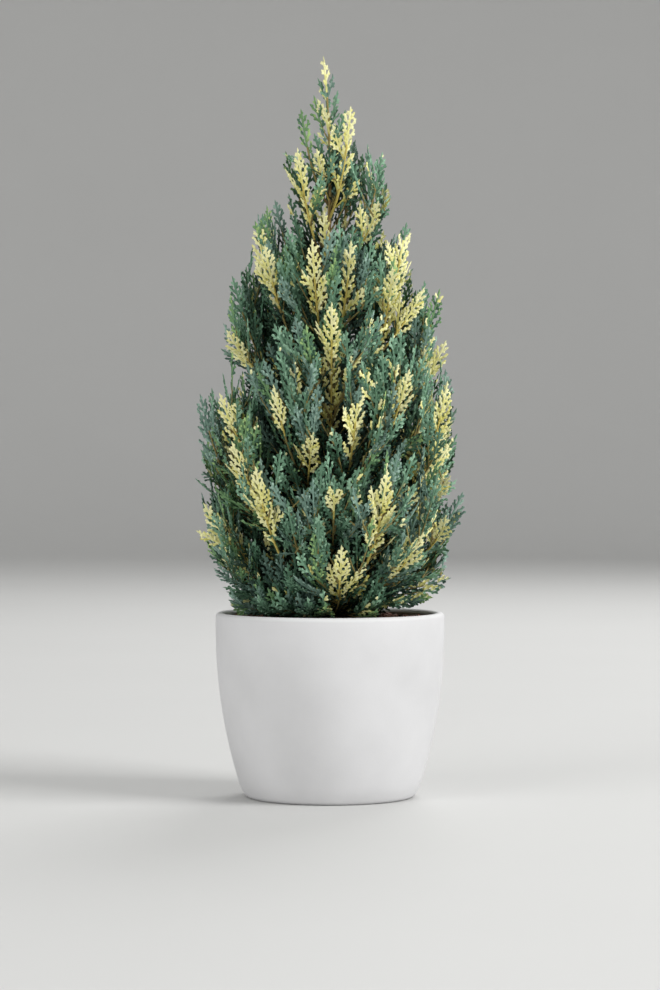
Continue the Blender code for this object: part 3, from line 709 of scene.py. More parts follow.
@dataclass(frozen=True)
class CrownShape:
    """The crown's outline, the trunk's line and the far side's tiers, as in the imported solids.

    A tier is its plumes' height and number, their share of the crown's radius, the height of the
    lowest foot, and whether they grow on boughs. Its heights are in millimetres.
    """

    top: float = 0.485
    radius: float = 0.087
    widest: float = 0.200
    skirt_depth: float = 0.080
    skirt_tuck: float = 0.35
    foliage_tuck: float = 0.16
    soil_top: float = 0.1180
    trunk_top: float = 0.4020
    foot_radius: float = 0.0046
    top_radius: float = 0.0011
    taper: float = 1.25
    flare: float = 0.0032
    flare_height: float = 0.008
    wander: float = 0.0016
    wander_turns: Pair = (1.3, 1.7)
    leader_lean: float = 0.0058
    lean_start: float = 0.400
    tiers: tuple = (
        (437, 1, 0.92, 372, False),
        (410, 2, 0.92, 352, False),
        (370, 2, 0.95, 292, False),
        (325, 3, 0.96, 232, False),
        (272, 3, 0.96, 160, True),
        (222, 3, 0.97, 149, False),
        (170, 3, 0.96, 132, False),
    )
    tier_names: tuple[str, ...] = ("top", "upper", "high", "shoulder", "middle", "low", "foot")
    back_arc: Pair = (112.0, 248.0)
    back_turn: float = 9.0
    back_foot_step: float = 5.0
    back_tip_spread: float = 9.0
    back_roll: float = 70.0
    back_forks: Pairs = ((-19, 26), (18, 36))
    few_forks: Pairs = ((-16, 26),)
    back_cream: Pair = (0, 45)
    fork_start: Pair = (0.30, 0.44)
    fork_reach: Pair = (0.93, 1.0)
    fork_belly: float = 0.006
    fork_bend: float = 0.45
    narrow_crown: float = 0.030
    bough_share: float = 0.42

    def drop(self, height: float | Array) -> float | Array:
        """How far a height lies under the widest one, from 0 there to 1 at the skirt's foot."""
        return np.clip((self.widest - height) / self.skirt_depth, 0.0, 1.0)

    def radius_at(self, height: float | Array) -> float | Array:
        """How far the crown reaches from the trunk at a height."""
        rise = np.clip((height - self.widest) / (self.top - self.widest), 0.0, 1.0)
        return self.radius * (1.0 - rise**2) * (1.0 - self.skirt_tuck * self.drop(height) ** 2)

    def outline_at(self, height: float | Array) -> float | Array:
        """How far foliage reaches at a height: as the crown does, but fuller over the rim.

        Args:
            height: The height, or an array of them.

        Returns:
            The radius at each.
        """
        drop = self.drop(height)
        tuck = (1.0 - self.foliage_tuck * drop**2) / (1.0 - self.skirt_tuck * drop**2)
        return self.radius_at(height) * tuck

    def trunk_point(self, height: float) -> Array:
        """The trunk's centre: a slight wander, and a leader that leans to -X.

        Args:
            height: The height at which it is read.

        Returns:
            The point.
        """
        rise = (height - self.soil_top) / (self.top - self.soil_top)
        lean = max(0.0, (height - self.lean_start) / (self.top - self.lean_start))
        side, deep = (FULL_TURN * turns * rise for turns in self.wander_turns)
        across = self.wander * math.sin(side) * rise - self.leader_lean * lean**1.5
        return np.array((across, 0.6 * self.wander * math.sin(deep), height))

    def trunk_radius(self, height: float) -> float:
        """The trunk's radius, with the root flare at its foot.

        Args:
            height: The height at which it is read.

        Returns:
            The radius.
        """
        rise = min(1.0, (height - self.soil_top) / (self.trunk_top - self.soil_top))
        taper = self.top_radius + (self.foot_radius - self.top_radius) * (1.0 - rise) ** self.taper
        return taper + self.flare * math.exp(-(height - self.soil_top) / self.flare_height)

    def lead_line(self, row: Plume) -> Array:
        """The line of a plume's lead shoot, from under the trunk's bark to its tip.

        Args:
            row: The plume.

        Returns:
            The shoot's points.
        """
        foot, tip = row.foot / MM_TO_A_METRE, row.tip / MM_TO_A_METRE
        out = outward(row.azimuth)
        reach = self.radius_at(tip) * row.share
        middle = np.array((0.0, 0.0, foot + (tip - foot) * row.up)) + out * (reach * row.out)
        start = self.trunk_point(foot) + out * (0.6 * self.trunk_radius(foot))
        return bend(start, middle, np.array((0.0, 0.0, tip)) + out * reach)

    def fork_line(self, row: Plume, stem: Array, turn: float, drop: float, rng: random.Random) -> Array:
        """The line of a side twig, which leaves the lead shoot low down and rises beside it.

        Args:
            row: The plume.
            stem: Its lead shoot, as 101 points.
            turn: How far round the crown the twig's tip lies, in degrees.
            drop: How far its tip lies below the plume's, in millimetres.
            rng: Random numbers.

        Returns:
            The twig's points.
        """
        tip_height = (row.tip - drop) / MM_TO_A_METRE
        start = stem[int(100 * rng.uniform(*self.fork_start))]
        around = float(self.radius_at(tip_height))
        wide = turn * (self.radius / max(self.narrow_crown, around)) ** 0.5
        out = outward(row.azimuth + wide)
        tip = np.array((0.0, 0.0, tip_height)) + out * (around * row.share * rng.uniform(*self.fork_reach))
        return bend(start, start + (tip - start) * self.fork_bend + out * self.fork_belly, tip)

    def back_rows(self) -> list[Plume]:
        """The far side's plumes, spread over each tier and turned a little from tier to tier.

        Returns:
            The plumes, from the highest tier down.
        """
        rows = []
        for tier, (tip, count, share, foot, on_bough) in enumerate(self.tiers):
            turn = self.back_turn if tier % 2 else -self.back_turn
            width = (self.back_arc[1] - self.back_arc[0]) / count
            for i in range(count):
                name = f"back_{self.tier_names[tier]}_{i + 1}"
                rng = random.Random(name)
                height = tip + rng.uniform(-self.back_tip_spread, self.back_tip_spread)
                roll = rng.uniform(-self.back_roll, self.back_roll)
                out, up = (0.55, 0.35) if tier == len(self.tiers) - 1 else (0.67, 0.25)
                forks = self.back_forks if tier > 1 else self.few_forks
                azimuth = self.back_arc[0] + width * (i + 0.5) + turn
                low = foot + self.back_foot_step * i
                cream = self.back_cream if name in BACK_CREAM else NONE
                rows.append(Plume(name, azimuth, height, share, low, on_bough, out, up, roll, forks, cream))
        return rows


@dataclass
class PlumePlan:
    """The lines of one plume: its bough if it has one, its stem, and the side twigs that fit."""

    row: Plume
    stem: Array
    bough: Array | None = None
    twigs: list[tuple[Array, bool]] = field(default_factory=list)


class Space:
    """Knows which plume, bough or trunk is nearest to a point."""

    def __init__(self, step: float = 0.003) -> None:
        """Starts an empty space.

        Args:
            step: How far apart the points lie that stand for the lines it is given.
        """
        self.step = step
        self.names: list[str] = []
        self.points: list[Array] = []
        self.owners: list[Array] = []

    def number(self, owner: str) -> int:
        """The number that stands for an owner.

        Args:
            owner: Its name.

        Returns:
            Its number, which is a new one for a new owner.
        """
        if owner not in self.names:
            self.names.append(owner)
        return self.names.index(owner)

    def add(self, owner: str, line: Array) -> None:
        """Adds a limb's centre line.

        Args:
            owner: The limb's name.
            line: Its points.
        """
        count = max(2, int(lengths_along(line)[-1] / self.step) + 1)
        self.points.append(spaced(line, count))
        self.owners.append(np.full(count, self.number(owner)))

    def settle(self) -> None:
        """Readies the arrays that are searched."""
        self.all_points = np.concatenate(self.points)
        self.all_owners = np.concatenate(self.owners)

    def distances(self, places: Array, owner: str) -> tuple[Array, Array]:
        """How far each place is from its owner's lines and from every other line.

        Args:
            places: The places.
            owner: Their owner's name.

        Returns:
            Both distances of each place.
        """
        away = places[:, None] - self.all_points[None]
        squares = np.einsum("ijk,ijk->ij", away, away)
        own = self.all_owners == self.number(owner)
        nearest_own = squares[:, own].min(axis=1) if own.any() else np.ones(len(places))
        return np.sqrt(nearest_own), np.sqrt(squares[:, ~own].min(axis=1))

    def nearest_plume(self, place: Array) -> str:
        """The plume whose lines come nearest to a place.

        Args:
            place: The place.

        Returns:
            The plume's name.
        """
        away = np.linalg.norm(self.all_points - place, axis=1)
        names = (self.names[self.all_owners[number]] for number in np.argsort(away))
        return next(name for name in names if name != "trunk" and not name.startswith("bough_"))


@dataclass
class CrownPlan:
    """Works out every plume's lines and who owns which space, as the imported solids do."""

    shape: CrownShape = field(default_factory=CrownShape)
    twig_clearance: float = 0.0050
    inside_rim: float = 0.0665
    rim_height: float = 0.1225
    soil_height: float = 0.1190

    def __post_init__(self) -> None:
        """Lays out the lines."""
        self.space = Space()
        shape = self.shape
        leader = np.linspace(shape.trunk_top - 0.004, shape.top - 0.001, 31)
        self.leader = np.array([shape.trunk_point(z) for z in leader])
        trunk = np.linspace(shape.soil_top, shape.trunk_top, 61)
        self.space.add("trunk", np.array([shape.trunk_point(z) for z in trunk]))
        self.space.add("leader_tip", self.leader)
        self.plans: list[PlumePlan] = []
        for row in [*FRONT_PLUMES, *shape.back_rows()]:
            line = spaced(shape.lead_line(row), 101)
            bough = None
            if row.on_bough:
                cut = round(100 * shape.bough_share)
                bough, line = line[: cut + 1], spaced(line[cut:], 101)
                self.space.add("bough_" + row.name, bough)
            self.space.add(row.name, line)
            self.plans.append(PlumePlan(row, line, bough))
        self.space.settle()
        for plan in self.plans:
            self.fork(plan)

    def fork(self, plan: PlumePlan) -> None:
        """Adds the side twigs that have room to a plume's plan.

        Args:
            plan: The plume's plan.
        """
        row = plan.row
        rng = random.Random("forks of " + row.name)
        for number, (turn, drop) in enumerate(row.forks):
            twig = self.shape.fork_line(row, plan.stem, turn, drop, rng)
            clear = self.space.distances(spaced(twig, 12), row.name)[1] > self.twig_clearance
            if clear[2:].all() and self.over_pot(twig).all():
                plan.twigs.append((twig, number in row.cream_forks))
                self.space.add(row.name, twig)
                self.space.settle()

    def over_pot(self, places: Array) -> Array:
        """Which places are over the soil inside the rim, or over the rim outside it."""
        inside = np.hypot(places[:, 0], places[:, 1]) < self.inside_rim
        return np.where(inside, places[:, 2] > self.soil_height, places[:, 2] > self.rim_height)

    def allows(self, places: Array, owner: str, slack: float, proud: float) -> Array:
        """Which places a plume's foliage may reach."""
        own, other = self.space.distances(places, owner)
        return (own < other + slack) & (self.depth(places) > -proud) & self.over_pot(places)

    def depth(self, places: Array) -> Array:
        """How far inside the foliage's outline each place lies."""
        return self.shape.outline_at(places[:, 2]) - np.hypot(places[:, 0], places[:, 1])


# Foliage


@dataclass
class Shoot:
    """One leafy shoot: its line and turn, how its sprays are set, and where they are cream.

    The cream run is measured down from the tip, bare is the share of the shoot that has no
    sprays, deep says how far inside the crown it lies, wood holds its radius at its foot and
    where its leafy part starts, and leafy is how far the leafy part reaches down from the tip.
    Slack is how far its sprays may mix into a neighbour's space. A shoot is left out where less
    than the least share of its sprays has room.
    """

    line: Array
    roll: float
    owner: str
    reach: float = 0.0
    cream: Pair = NONE
    bare: float = 0.22
    deep: float = 0.0
    wood: Pair = (0.0010, 0.0006)
    leafy: float = 0.028
    slack: float = 0.0045
    least: float = 0.0

    def axis(self) -> "Axis":
        """The shoot's line with the directions that its foliage follows."""
        line = spaced(self.line, 41)
        return Axis(line, *frames_of(line, self.roll), lengths_along(line)[-1])


@dataclass
class Frond(Shoot):
    """One of the smaller fronds, which fill the crown between the plumes."""

    bare: float = 0.08
    wood: Pair = (0.0007, 0.0005)
    leafy: float = 0.023
    least: float = 0.62


@dataclass
class TrunkShoot(Shoot):
    """A shoot that rises from the trunk itself."""

    bare: float = 0.19
    wood: Pair = (0.0007, 0.0004)
    leafy: float = 0.020
    slack: float = 0.060


@dataclass
class Leader(Shoot):
    """The shoot at the very top."""

    reach: float = 0.0042
    cream: Pair = (0.0, 0.024)
    bare: float = 0.58
    wood: Pair = (0.0011, 0.0007)
    leafy: float = 0.030


@dataclass
class Axis:
    """A shoot's points, the way along, the way its foliage spreads, the way it faces, its length."""

    line: Array
    along: Array
    spread: Array
    facing: Array
    total: float


@dataclass(frozen=True)
class Tone:
    """How light sprays are: a level from 0 to 4, which rises towards their shoot's tip.

    It falls with the shoot's depth in the crown, and with the spray's own depth from drop_from
    on, less for cream than for green. This fall is painted shade: the shade inside the crown.
    """

    base: float
    tip_lift: float
    tip_run: float
    spread: float
    cream_drop: float
    green_drop: float
    deep_drop: float = 1.2
    drop_from: float = 0.012
    drop_over: float = 0.035

    def levels(self, back: Array, cream: Array, depth: Array, deep: float, rng: Rng) -> Array:
        """The levels of a shoot's sprays.

        Args:
            back: How far each lies from the shoot's tip.
            cream: Which are cream.
            depth: How far each lies inside the crown's outline.
            deep: How far inside the crown the shoot lies, from 0 to 1.
            rng: Random numbers.

        Returns:
            A level for each.
        """
        tip = self.tip_lift * np.clip(1.0 - back / self.tip_run, 0.0, 1.0)
        # Painted shade: the level falls with the shoot's depth in the crown.
        level = self.base + tip - self.deep_drop * deep + rng.normal(0.0, self.spread, len(back))
        # Painted shade: each spray darkens further with its own depth under the crown's outline.
        drop = np.where(cream, self.cream_drop, self.green_drop)
        return level - drop * np.clip((depth - self.drop_from) / self.drop_over, 0.0, 1.0)


@dataclass
class Sprays:
    """Many small leafy shoots at once, with one row for each in every array.

    Each leaves its base in one direction and ends in another, and its flat side faces along the
    normal. Level says how light its tint is, from 0 to 4. Cream and family choose its colours.
    """

    base: Array
    leave: Array
    arrive: Array
    normal: Array
    length: Array
    level: Array
    cream: Array
    family: Array

    def picked(self, some: Array) -> "Sprays":
        """The sprays that a mask or a list of numbers picks."""
        return Sprays(*(getattr(self, part.name)[some] for part in fields(self)))

    def at(self, share: Array) -> tuple[Array, Array]:
        """Places and headings at a share of every spray's length.

        Args:
            share: The share for each spray.

        Returns:
            A place and a heading for each.
        """
        turn = self.arrive - self.leave
        grown = self.leave * share[:, None] + turn * (share[:, None] ** 2 / 2.0)
        return self.base + grown * self.length[:, None], unit(self.leave + turn * share[:, None])


@dataclass(frozen=True)
class FillZone:
    """A layer of the crown that small fronds fill: heights, depths under its outline, and counts.

    Droop is how far a frond's tip may hang under its foot. Fronds from the soil leave the trunk's
    foot and rise close over the soil. The outward share says how much of a lean is away from the
    trunk at least.
    """

    heights: Pair
    depths: Pair
    tries: int
    apart: float
    droop: float = 0.0
    lengths: Pair = (0.024, 0.050)
    from_soil: bool = False
    outward_share: float = 0.55


FILL_ZONES = (
    FillZone((0.1280, 0.1640), (0.0200, 0.0680), 1500, 0.0070, from_soil=True),
    FillZone((0.1255, 0.1400), (0.0080, 0.0560), 1100, 0.0066, from_soil=True),
    FillZone((0.1270, 0.1500), (0.0000, 0.0250), 900, 0.0080, 0.006, (0.016, 0.046)),
    FillZone((0.1500, 0.1900), (0.0015, 0.0450), 2200, 0.0078, 0.002, (0.020, 0.048)),
    FillZone((0.1900, 0.3950), (0.0030, 0.0150), 4500, 0.0084),
    FillZone((0.1900, 0.3850), (0.0150, 0.0400), 4000, 0.0088, outward_share=-0.5),
    FillZone((0.1600, 0.3750), (0.0400, 0.0800), 1600, 0.0120, outward_share=-1.0),
    FillZone((0.3500, 0.4280), (0.0030, 0.0330), 1100, 0.0074, 0.0, (0.020, 0.042), outward_share=-0.2),
)


@dataclass(frozen=True)
class SideShoot:
    """A shoot of the trunk itself: where it leaves it, its tip, and whether it is cream.

    Where its roll is left at 0, its flat side is turned mostly to the front or the back.
    """

    foot: float
    tip: Triple
    cream: bool = False
    reach: float = 0.0075
    roll: float = 0.0


@dataclass(frozen=True)
class Gap:
    """A notch in the crown's outline: a ball drawn out from front to back, which stays open."""

    x: float
    z: float
    half_width: float
    half_height: float
    half_depth: float = 0.040

    def holds(self, place: Array) -> bool:
        """Whether a place lies inside the notch."""
        away = (place - (self.x, 0.0, self.z)) / (self.half_width, self.half_depth, self.half_height)
        return bool(away @ away < 1.0)


GAPS = (
    Gap(-0.0770, 0.2830, 0.0190, 0.0150),
    Gap(-0.0470, 0.3960, 0.0100, 0.0150),
    Gap(0.0590, 0.3530, 0.0090, 0.0160),
    Gap(-0.0720, 0.3080, 0.0080, 0.0140),
)
TRUNK_SHOOTS = (
    SideShoot(0.3000, (-0.0358, -0.0060, 0.3896), reach=0.0082),
    SideShoot(0.3300, (-0.0270, 0.0080, 0.3950), reach=0.0082),
    SideShoot(0.3200, (-0.0230, -0.0160, 0.3780), reach=0.0078),
    SideShoot(0.3850, (0.0165, 0.0040, 0.4300)),
    SideShoot(0.3700, (0.0175, -0.0080, 0.4130)),
    SideShoot(0.3550, (0.0190, 0.0110, 0.4000)),
    SideShoot(0.3500, (0.0260, -0.0080, 0.3900)),
    SideShoot(0.3300, (0.0330, 0.0100, 0.3780), reach=0.0082),
    SideShoot(0.1260, (0.0660, -0.0120, 0.1310), reach=0.0085, roll=62.0),
    SideShoot(0.1250, (0.0600, -0.0300, 0.1300), reach=0.0085, roll=55.0),
    SideShoot(0.1280, (0.0740, 0.0020, 0.1370), reach=0.0090, roll=66.0),
    SideShoot(0.1270, (0.0640, 0.0220, 0.1320), reach=0.0085, roll=60.0),
    SideShoot(0.1250, (0.0500, -0.0430, 0.1310), reach=0.0085, roll=48.0),
    SideShoot(0.1260, (-0.0600, -0.0140, 0.1310), reach=0.0085, roll=-62.0),
    SideShoot(0.1280, (-0.0690, 0.0020, 0.1370), reach=0.0090, roll=-66.0),
    SideShoot(0.1250, (-0.0500, -0.0360, 0.1300), reach=0.0085, roll=-50.0),
    SideShoot(0.1270, (-0.0590, 0.0240, 0.1320), reach=0.0085, roll=-60.0),
    SideShoot(0.1260, (-0.0660, -0.0200, 0.1350), reach=0.0092, roll=-46.0),
    SideShoot(0.1250, (-0.0540, 0.0040, 0.1280), reach=0.0088, roll=-60.0),
    SideShoot(0.1290, (-0.0680, -0.0290, 0.1440), reach=0.0092, roll=-40.0),
    SideShoot(0.1290, (0.0780, -0.0100, 0.1435), reach=0.0092, roll=52.0),
    SideShoot(0.1250, (0.0620, 0.0060, 0.1290), reach=0.0088, roll=60.0),
    SideShoot(0.1880, (-0.0050, -0.0480, 0.2450)),
    SideShoot(0.1650, (-0.0240, -0.0500, 0.2160)),
    SideShoot(0.1600, (0.0000, -0.0560, 0.2130)),
    SideShoot(0.1720, (-0.0400, -0.0420, 0.2270)),
    SideShoot(0.1650, (0.0350, -0.0480, 0.2160)),
    SideShoot(0.1900, (0.0140, -0.0440, 0.2430)),
    SideShoot(0.1600, (-0.0320, -0.0630, 0.2130)),
    SideShoot(0.1700, (-0.0290, -0.0560, 0.2260)),
    SideShoot(0.1550, (-0.0400, -0.0560, 0.2040)),
    SideShoot(0.1750, (0.0480, -0.0540, 0.2340)),
    SideShoot(0.2400, (-0.0400, -0.0360, 0.2960)),
    SideShoot(0.2300, (-0.0480, -0.0280, 0.2860)),
    SideShoot(0.2500, (-0.0330, -0.0420, 0.3060)),
    SideShoot(0.1500, (0.0160, -0.0560, 0.1820)),
    SideShoot(0.1500, (-0.0160, -0.0560, 0.1800)),
    SideShoot(0.2250, (0.0610, 0.0040, 0.2730), reach=0.0082, roll=-50.0),
    SideShoot(0.3620, (-0.0070, 0.0090, 0.3970)),
    SideShoot(0.3600, (0.0085, 0.0100, 0.3960)),
    SideShoot(0.3550, (-0.0130, 0.0030, 0.3860)),
    SideShoot(0.3700, (0.0010, 0.0090, 0.4060)),
    SideShoot(0.3400, (-0.0040, -0.0200, 0.3820), True),
    SideShoot(0.3900, (-0.0085, -0.0080, 0.4230), True),
    SideShoot(0.3850, (0.0090, -0.0100, 0.4160)),
    SideShoot(0.4690, (-0.0008, -0.001, 0.4754), True),
    SideShoot(0.4580, (0.0016, -0.002, 0.4724)),
    SideShoot(0.4580, (-0.0076, -0.001, 0.4697)),
    SideShoot(0.4560, (-0.0062, 0.003, 0.4640), True),
    SideShoot(0.4430, (0.0050, -0.001, 0.4618)),
    SideShoot(0.4420, (-0.0078, -0.003, 0.4560), True),
    SideShoot(0.4290, (-0.0104, -0.001, 0.4585)),
    SideShoot(0.4270, (0.0098, -0.002, 0.4488)),
    SideShoot(0.4480, (-0.0030, 0.009, 0.4640)),
    SideShoot(0.4360, (0.0040, 0.011, 0.4530)),
    SideShoot(0.4340, (-0.0030, -0.010, 0.4500), True),
    SideShoot(0.4240, (-0.0060, 0.012, 0.4400)),
    SideShoot(0.4200, (0.0060, -0.011, 0.4380)),
    SideShoot(0.4130, (-0.0100, -0.008, 0.4330)),
    SideShoot(0.4080, (0.0100, 0.008, 0.4280)),
    SideShoot(0.4060, (-0.0080, 0.010, 0.4250)),
)
REGIONS = {
    "top": (
        "leader_tip", "top_left", "top_right", "upper_left", "upper_right", "back_top_1", "back_upper_1",
        "back_upper_2",
    ),
    "left": ("left_shoulder", "left_wing", "left_outer", "left_middle", "left_low"),
    "right_high": ("right_shoulder", "right_wing", "right_middle"),
    "right_low": ("right_outer", "right_side_low", "right_skirt", "right_foot"),
    "front_high": (
        "high_front_left", "high_front_right", "front_centre", "front_left_middle", "front_right_middle"
    ),
    "front_low": (
        "front_left_low", "front_right_low", "front_low", "front_left_skirt", "front_foot",
        "front_right_skirt",
    ),
    "skirt": ("left_skirt", "left_foot", "back_foot_1", "back_foot_2", "back_foot_3"),
    "back_high": ("back_high_1", "back_high_2", "back_shoulder_1", "back_shoulder_2", "back_shoulder_3"),
    "back_low": ("back_middle_1", "back_middle_2", "back_middle_3", "back_low_1", "back_low_2", "back_low_3"),
}


class Kind(Enum):
    """The kinds of foliage that are joined apart from each other, with their record slots."""

    GREEN = "green_foliage"
    CREAM = "cream_foliage"
    TWIGS = "bark"


@dataclass
class Foliage:
    """Grows the fronds of every plume and joins them by region and kind.

    Turns are in degrees. A curve holds distances or heights, and the values that go with them.
    """

    plan: CrownPlan
    # The sprays down a shoot
    spacing: Curve = ((0.0, 0.010, 0.030), (0.0024, 0.0031, 0.0044))
    tip_gap: float = 0.0023
    uneven: Pair = (0.85, 1.15)
    first_spray: float = 0.0012
    spray_growth: float = 0.51
    spray_lengths: Pair = (0.80, 1.12)
    foot_sprays: Pair = (0.65, 1.0)
    foot_run: float = 0.25
    opened: Curve = ((0.0, 0.020), (44.0, 33.0))
    closed: Curve = ((0.0, 0.020), (28.0, 15.0))
    turn_spread: float = 4.0
    lift: float = 20.0
    draw_in: float = 0.72
    sprig_below: float = 0.0046
    long_from: float = 0.010
    # The sprigs on a spray
    sprig_step: float = 0.0020
    deep_step: float = 0.35
    sprig_start: float = 0.0012
    sprig_shift: float = 0.0003
    sprig_first: float = 0.0018
    sprig_growth: float = 0.13
    sprig_lengths: Pair = (0.0019, 0.0056)
    sprig_uneven: Pair = (0.84, 1.16)
    sprig_splay: float = 35.0
    splay_spread: float = 6.0
    tilt_spread: float = 13.0
    twist_spread: float = 15.0
    girths: Pair = (0.92, 1.15)
    # The strips that sprays and axes are made of
    strip_half: float = 0.00074
    strip_ridge: float = 0.00060
    strip_tip: float = 0.0008
    strip_swell: Curve = ((0.0, 0.3, 0.85, 1.0), (0.72, 1.0, 1.0, 0.88))
    axis_swell: Curve = ((0.0, 0.002, 0.024, 0.036), (0.70, 1.0, 0.95, 0.62))
    axis_step: float = 0.0035
    axis_proud: float = 0.0001
    axis_tip: float = 0.0016
    gold_axis_run: float = 0.016
    # The woody part of an axis
    wood_lap: float = 0.004
    wood_least: float = 0.05
    wood_step: float = 0.005
    wood_tip: float = 0.02
    tan_run: float = 0.062
    gold_lap: Pair = (0.004, 0.006)
    # The lead shoots, their side fronds and the fronds that fill the crown
    lead_reach: Curve = ((0.200, 0.450), (0.0175, 0.0110))
    twig_reach: float = 0.84
    twig_bare: float = 0.16
    twig_wood: Pair = (0.0008, 0.0005)
    cream_twig: Pair = (0.0, 0.042)
    cream_frond: Pair = (0.0, 0.05)
    cream_shoot: Pair = (0.0, 0.03)
    frond_reach: float = 0.0088
    frond_spacing: float = 0.0120
    frond_length: Pair = (0.024, 0.046)
    frond_growth: float = 0.46
    frond_start: float = 0.034
    frond_splay: Pair = (26.0, 40.0)
    frond_turn: float = 50.0
    frond_rise: float = 0.45
    frond_ahead: float = 0.25
    frond_uneven: Pair = (0.85, 1.1)
    cream_side_share: float = 0.75
    frond_roll: float = 60.0
    shrinks: tuple[float, ...] = (1.0, 0.84, 0.68, 0.52)
    lean: Curve = ((0.127, 0.150, 0.190, 0.300, 0.430), (86.0, 64.0, 45.0, 36.0, 24.0))
    lean_share: Pair = (0.35, 1.0)
    lean_spread: float = 6.0
    frond_belly: float = 0.14
    frond_sag: float = 0.12
    fill_slack: float = 0.030
    front_share: float = 0.70
    low_droop: float = 0.004
    low_roll: float = 0.4
    small_roll: float = 25.0
    # The fronds over the soil
    bare_soil_from: float = 0.036
    soil_foot: Pair = (0.001, 0.006)
    soil_run: Pair = (0.80, 0.98)
    soil_clear: float = 0.0006
    soil_slack: float = 0.040
    # What each shoot may reach, and what stays in view
    proud: float = 0.0045
    kept_slack: float = 0.003
    kept_proud: float = 0.002
    clear_of_cream: float = 0.0085
    clear_of_lead: float = 0.0038
    clear_height: float = 0.0075
    lead_shown: float = 0.050
    lead_bare: float = 0.2
    # Colours
    # How deep a small frond lies sets its painted shade in the tones below, and its sprig step.
    deep_from: float = 0.010
    deep_over: float = 0.030
    cream_blur: float = 0.003
    mixed_share: float = 0.10
    more_mixed: float = 0.12
    more_mixed_from: float = 0.015
    mixed_cream: float = 0.36
    stray_cream: float = 0.014
    level_spread: float = 0.45
    # In each tone the drops for cream and green are painted shade for sprays deep in the crown.
    spray_tone: Tone = Tone(2.4, 1.0, 0.040, 0.45, 0.1, 1.9)
    axis_tone: Tone = Tone(2.5, 0.9, 0.030, 0.2, 0.6, 1.8)
    # Seeds
    rooted_seed: int = 7
    fill_seed: int = 20

    def __post_init__(self) -> None:
        """Readies one heap for each region and kind."""
        self.region_of = {node: region for region, nodes in REGIONS.items() for node in nodes}
        self.heaps = {(region, kind): Heap() for region in REGIONS for kind in Kind}
        self.sprigs = [[shape.make() for shape in shapes] for shapes in SPRIGS]
        self.greens = np.array([[GREEN_TINTS.index(tint) for tint in tints] for tints in GREEN_FAMILIES])
        self.golds = np.array([CREAM_TINTS.index(tint) for tint in CREAM_FAMILY])
        self.fronds = 0
        self.tips: list[Array] = []

    def grow(self) -> None:
        """Grows every plume and the leader, and then the small fronds that fill the crown."""
        shoots = [shoot for plan in self.plan.plans for shoot in self.plume_shoots(plan)]
        rooted = self.trunk_shoots()
        shown = [self.shown_run(shoot) for shoot in shoots + rooted]
        self.shown_points, self.shown_clear = (np.concatenate(part) for part in zip(*shown))
        for shoot in shoots:
            rng = np.random.default_rng([len(self.tips), *shoot.owner.encode()])
            self.dress(shoot, rng)
            self.side_fronds(shoot, rng)
        rng = np.random.default_rng(self.rooted_seed)
        for shoot in rooted:
            self.dress(shoot, rng)
        for number, zone in enumerate(FILL_ZONES):
            self.fill(zone, np.random.default_rng(self.fill_seed + number))
        log.info("%d fronds", self.fronds)

    def plume_shoots(self, plan: PlumePlan) -> list[Shoot]:
        """A plume's lead shoot and side twigs.

        Args:
            plan: The plume's lines.

        Returns:
            The shoots, with the lead shoot first.
        """
        row = plan.row
        rng = np.random.default_rng(list(row.name.encode()))
        cream = (row.cream[0] / MM_TO_A_METRE, row.cream[1] / MM_TO_A_METRE)
        reach = row.breadth * float(np.interp(row.tip / MM_TO_A_METRE, *self.lead_reach))
        shoots = [Shoot(plan.stem, row.roll, row.name, reach, cream)]
        for line, is_cream in plan.twigs:
            run = self.cream_twig if is_cream else NONE
            roll = row.roll + rng.uniform(-self.small_roll, self.small_roll)
            reach_here = reach * self.twig_reach
            shoots.append(Shoot(line, roll, row.name, reach_here, run, self.twig_bare, wood=self.twig_wood))
        return shoots

    def trunk_shoots(self) -> list[Shoot]:
        """The shoots that rise from the trunk itself.

        Returns:
            The shoots, with the one at the very top first.
        """
        rng = np.random.default_rng(self.rooted_seed)
        shoots: list[Shoot] = [Leader(self.plan.leader, 0.0, "leader_tip")]
        for side in TRUNK_SHOOTS:
            foot = self.plan.shape.trunk_point(side.foot)
            tip = np.array(side.tip)
            line = bend(foot, foot + (tip - foot) * (0.70, 0.70, 0.40), tip, 13)
            run = self.cream_shoot if side.cream else NONE
            roll = side.roll or (
                rng.uniform(-self.small_roll, self.small_roll) + self.front_share * facing_front(tip)
            )
            shoots.append(TrunkShoot(line, roll, self.plan.space.nearest_plume(tip), side.reach, run))
        return shoots

    def shown_run(self, shoot: Shoot) -> tuple[Array, Array]:
        """The part of a shoot that stays in view.

        Args:
            shoot: The shoot.

        Returns:
            Points down that part, and how clear each is kept.
        """
        line = spaced(shoot.line, 61)
        back = lengths_along(line)[-1] - lengths_along(line)
        cream = (back >= shoot.cream[0]) & (back < shoot.cream[1])
        some = cream | ((back < self.lead_shown) & (shoot.bare > self.lead_bare))
        clear = np.where(cream, self.clear_of_cream, self.clear_of_lead)
        return line[some][::2], clear[some][::2]

    def hides_shown(self, places: Array) -> bool:
        """Whether any place lies just outside a part that stays in view, as seen from beside the plant.

        Args:
            places: The places.

        Returns:
            True where one of them does.
        """
        radius = np.hypot(places[:, 0], places[:, 1])[:, None]
        far = np.hypot(self.shown_points[:, 0], self.shown_points[:, 1])
        aside = np.cross(places[:, None, :2], self.shown_points[None, :, :2]) / np.maximum(far, 0.005)
        facing = places[:, :2] @ self.shown_points[:, :2].T > 0.0
        level = np.abs(places[:, None, 2] - self.shown_points[:, 2]) < self.clear_height
        return bool((level & facing & (np.abs(aside) < self.shown_clear) & (radius > far - 0.001)).any())

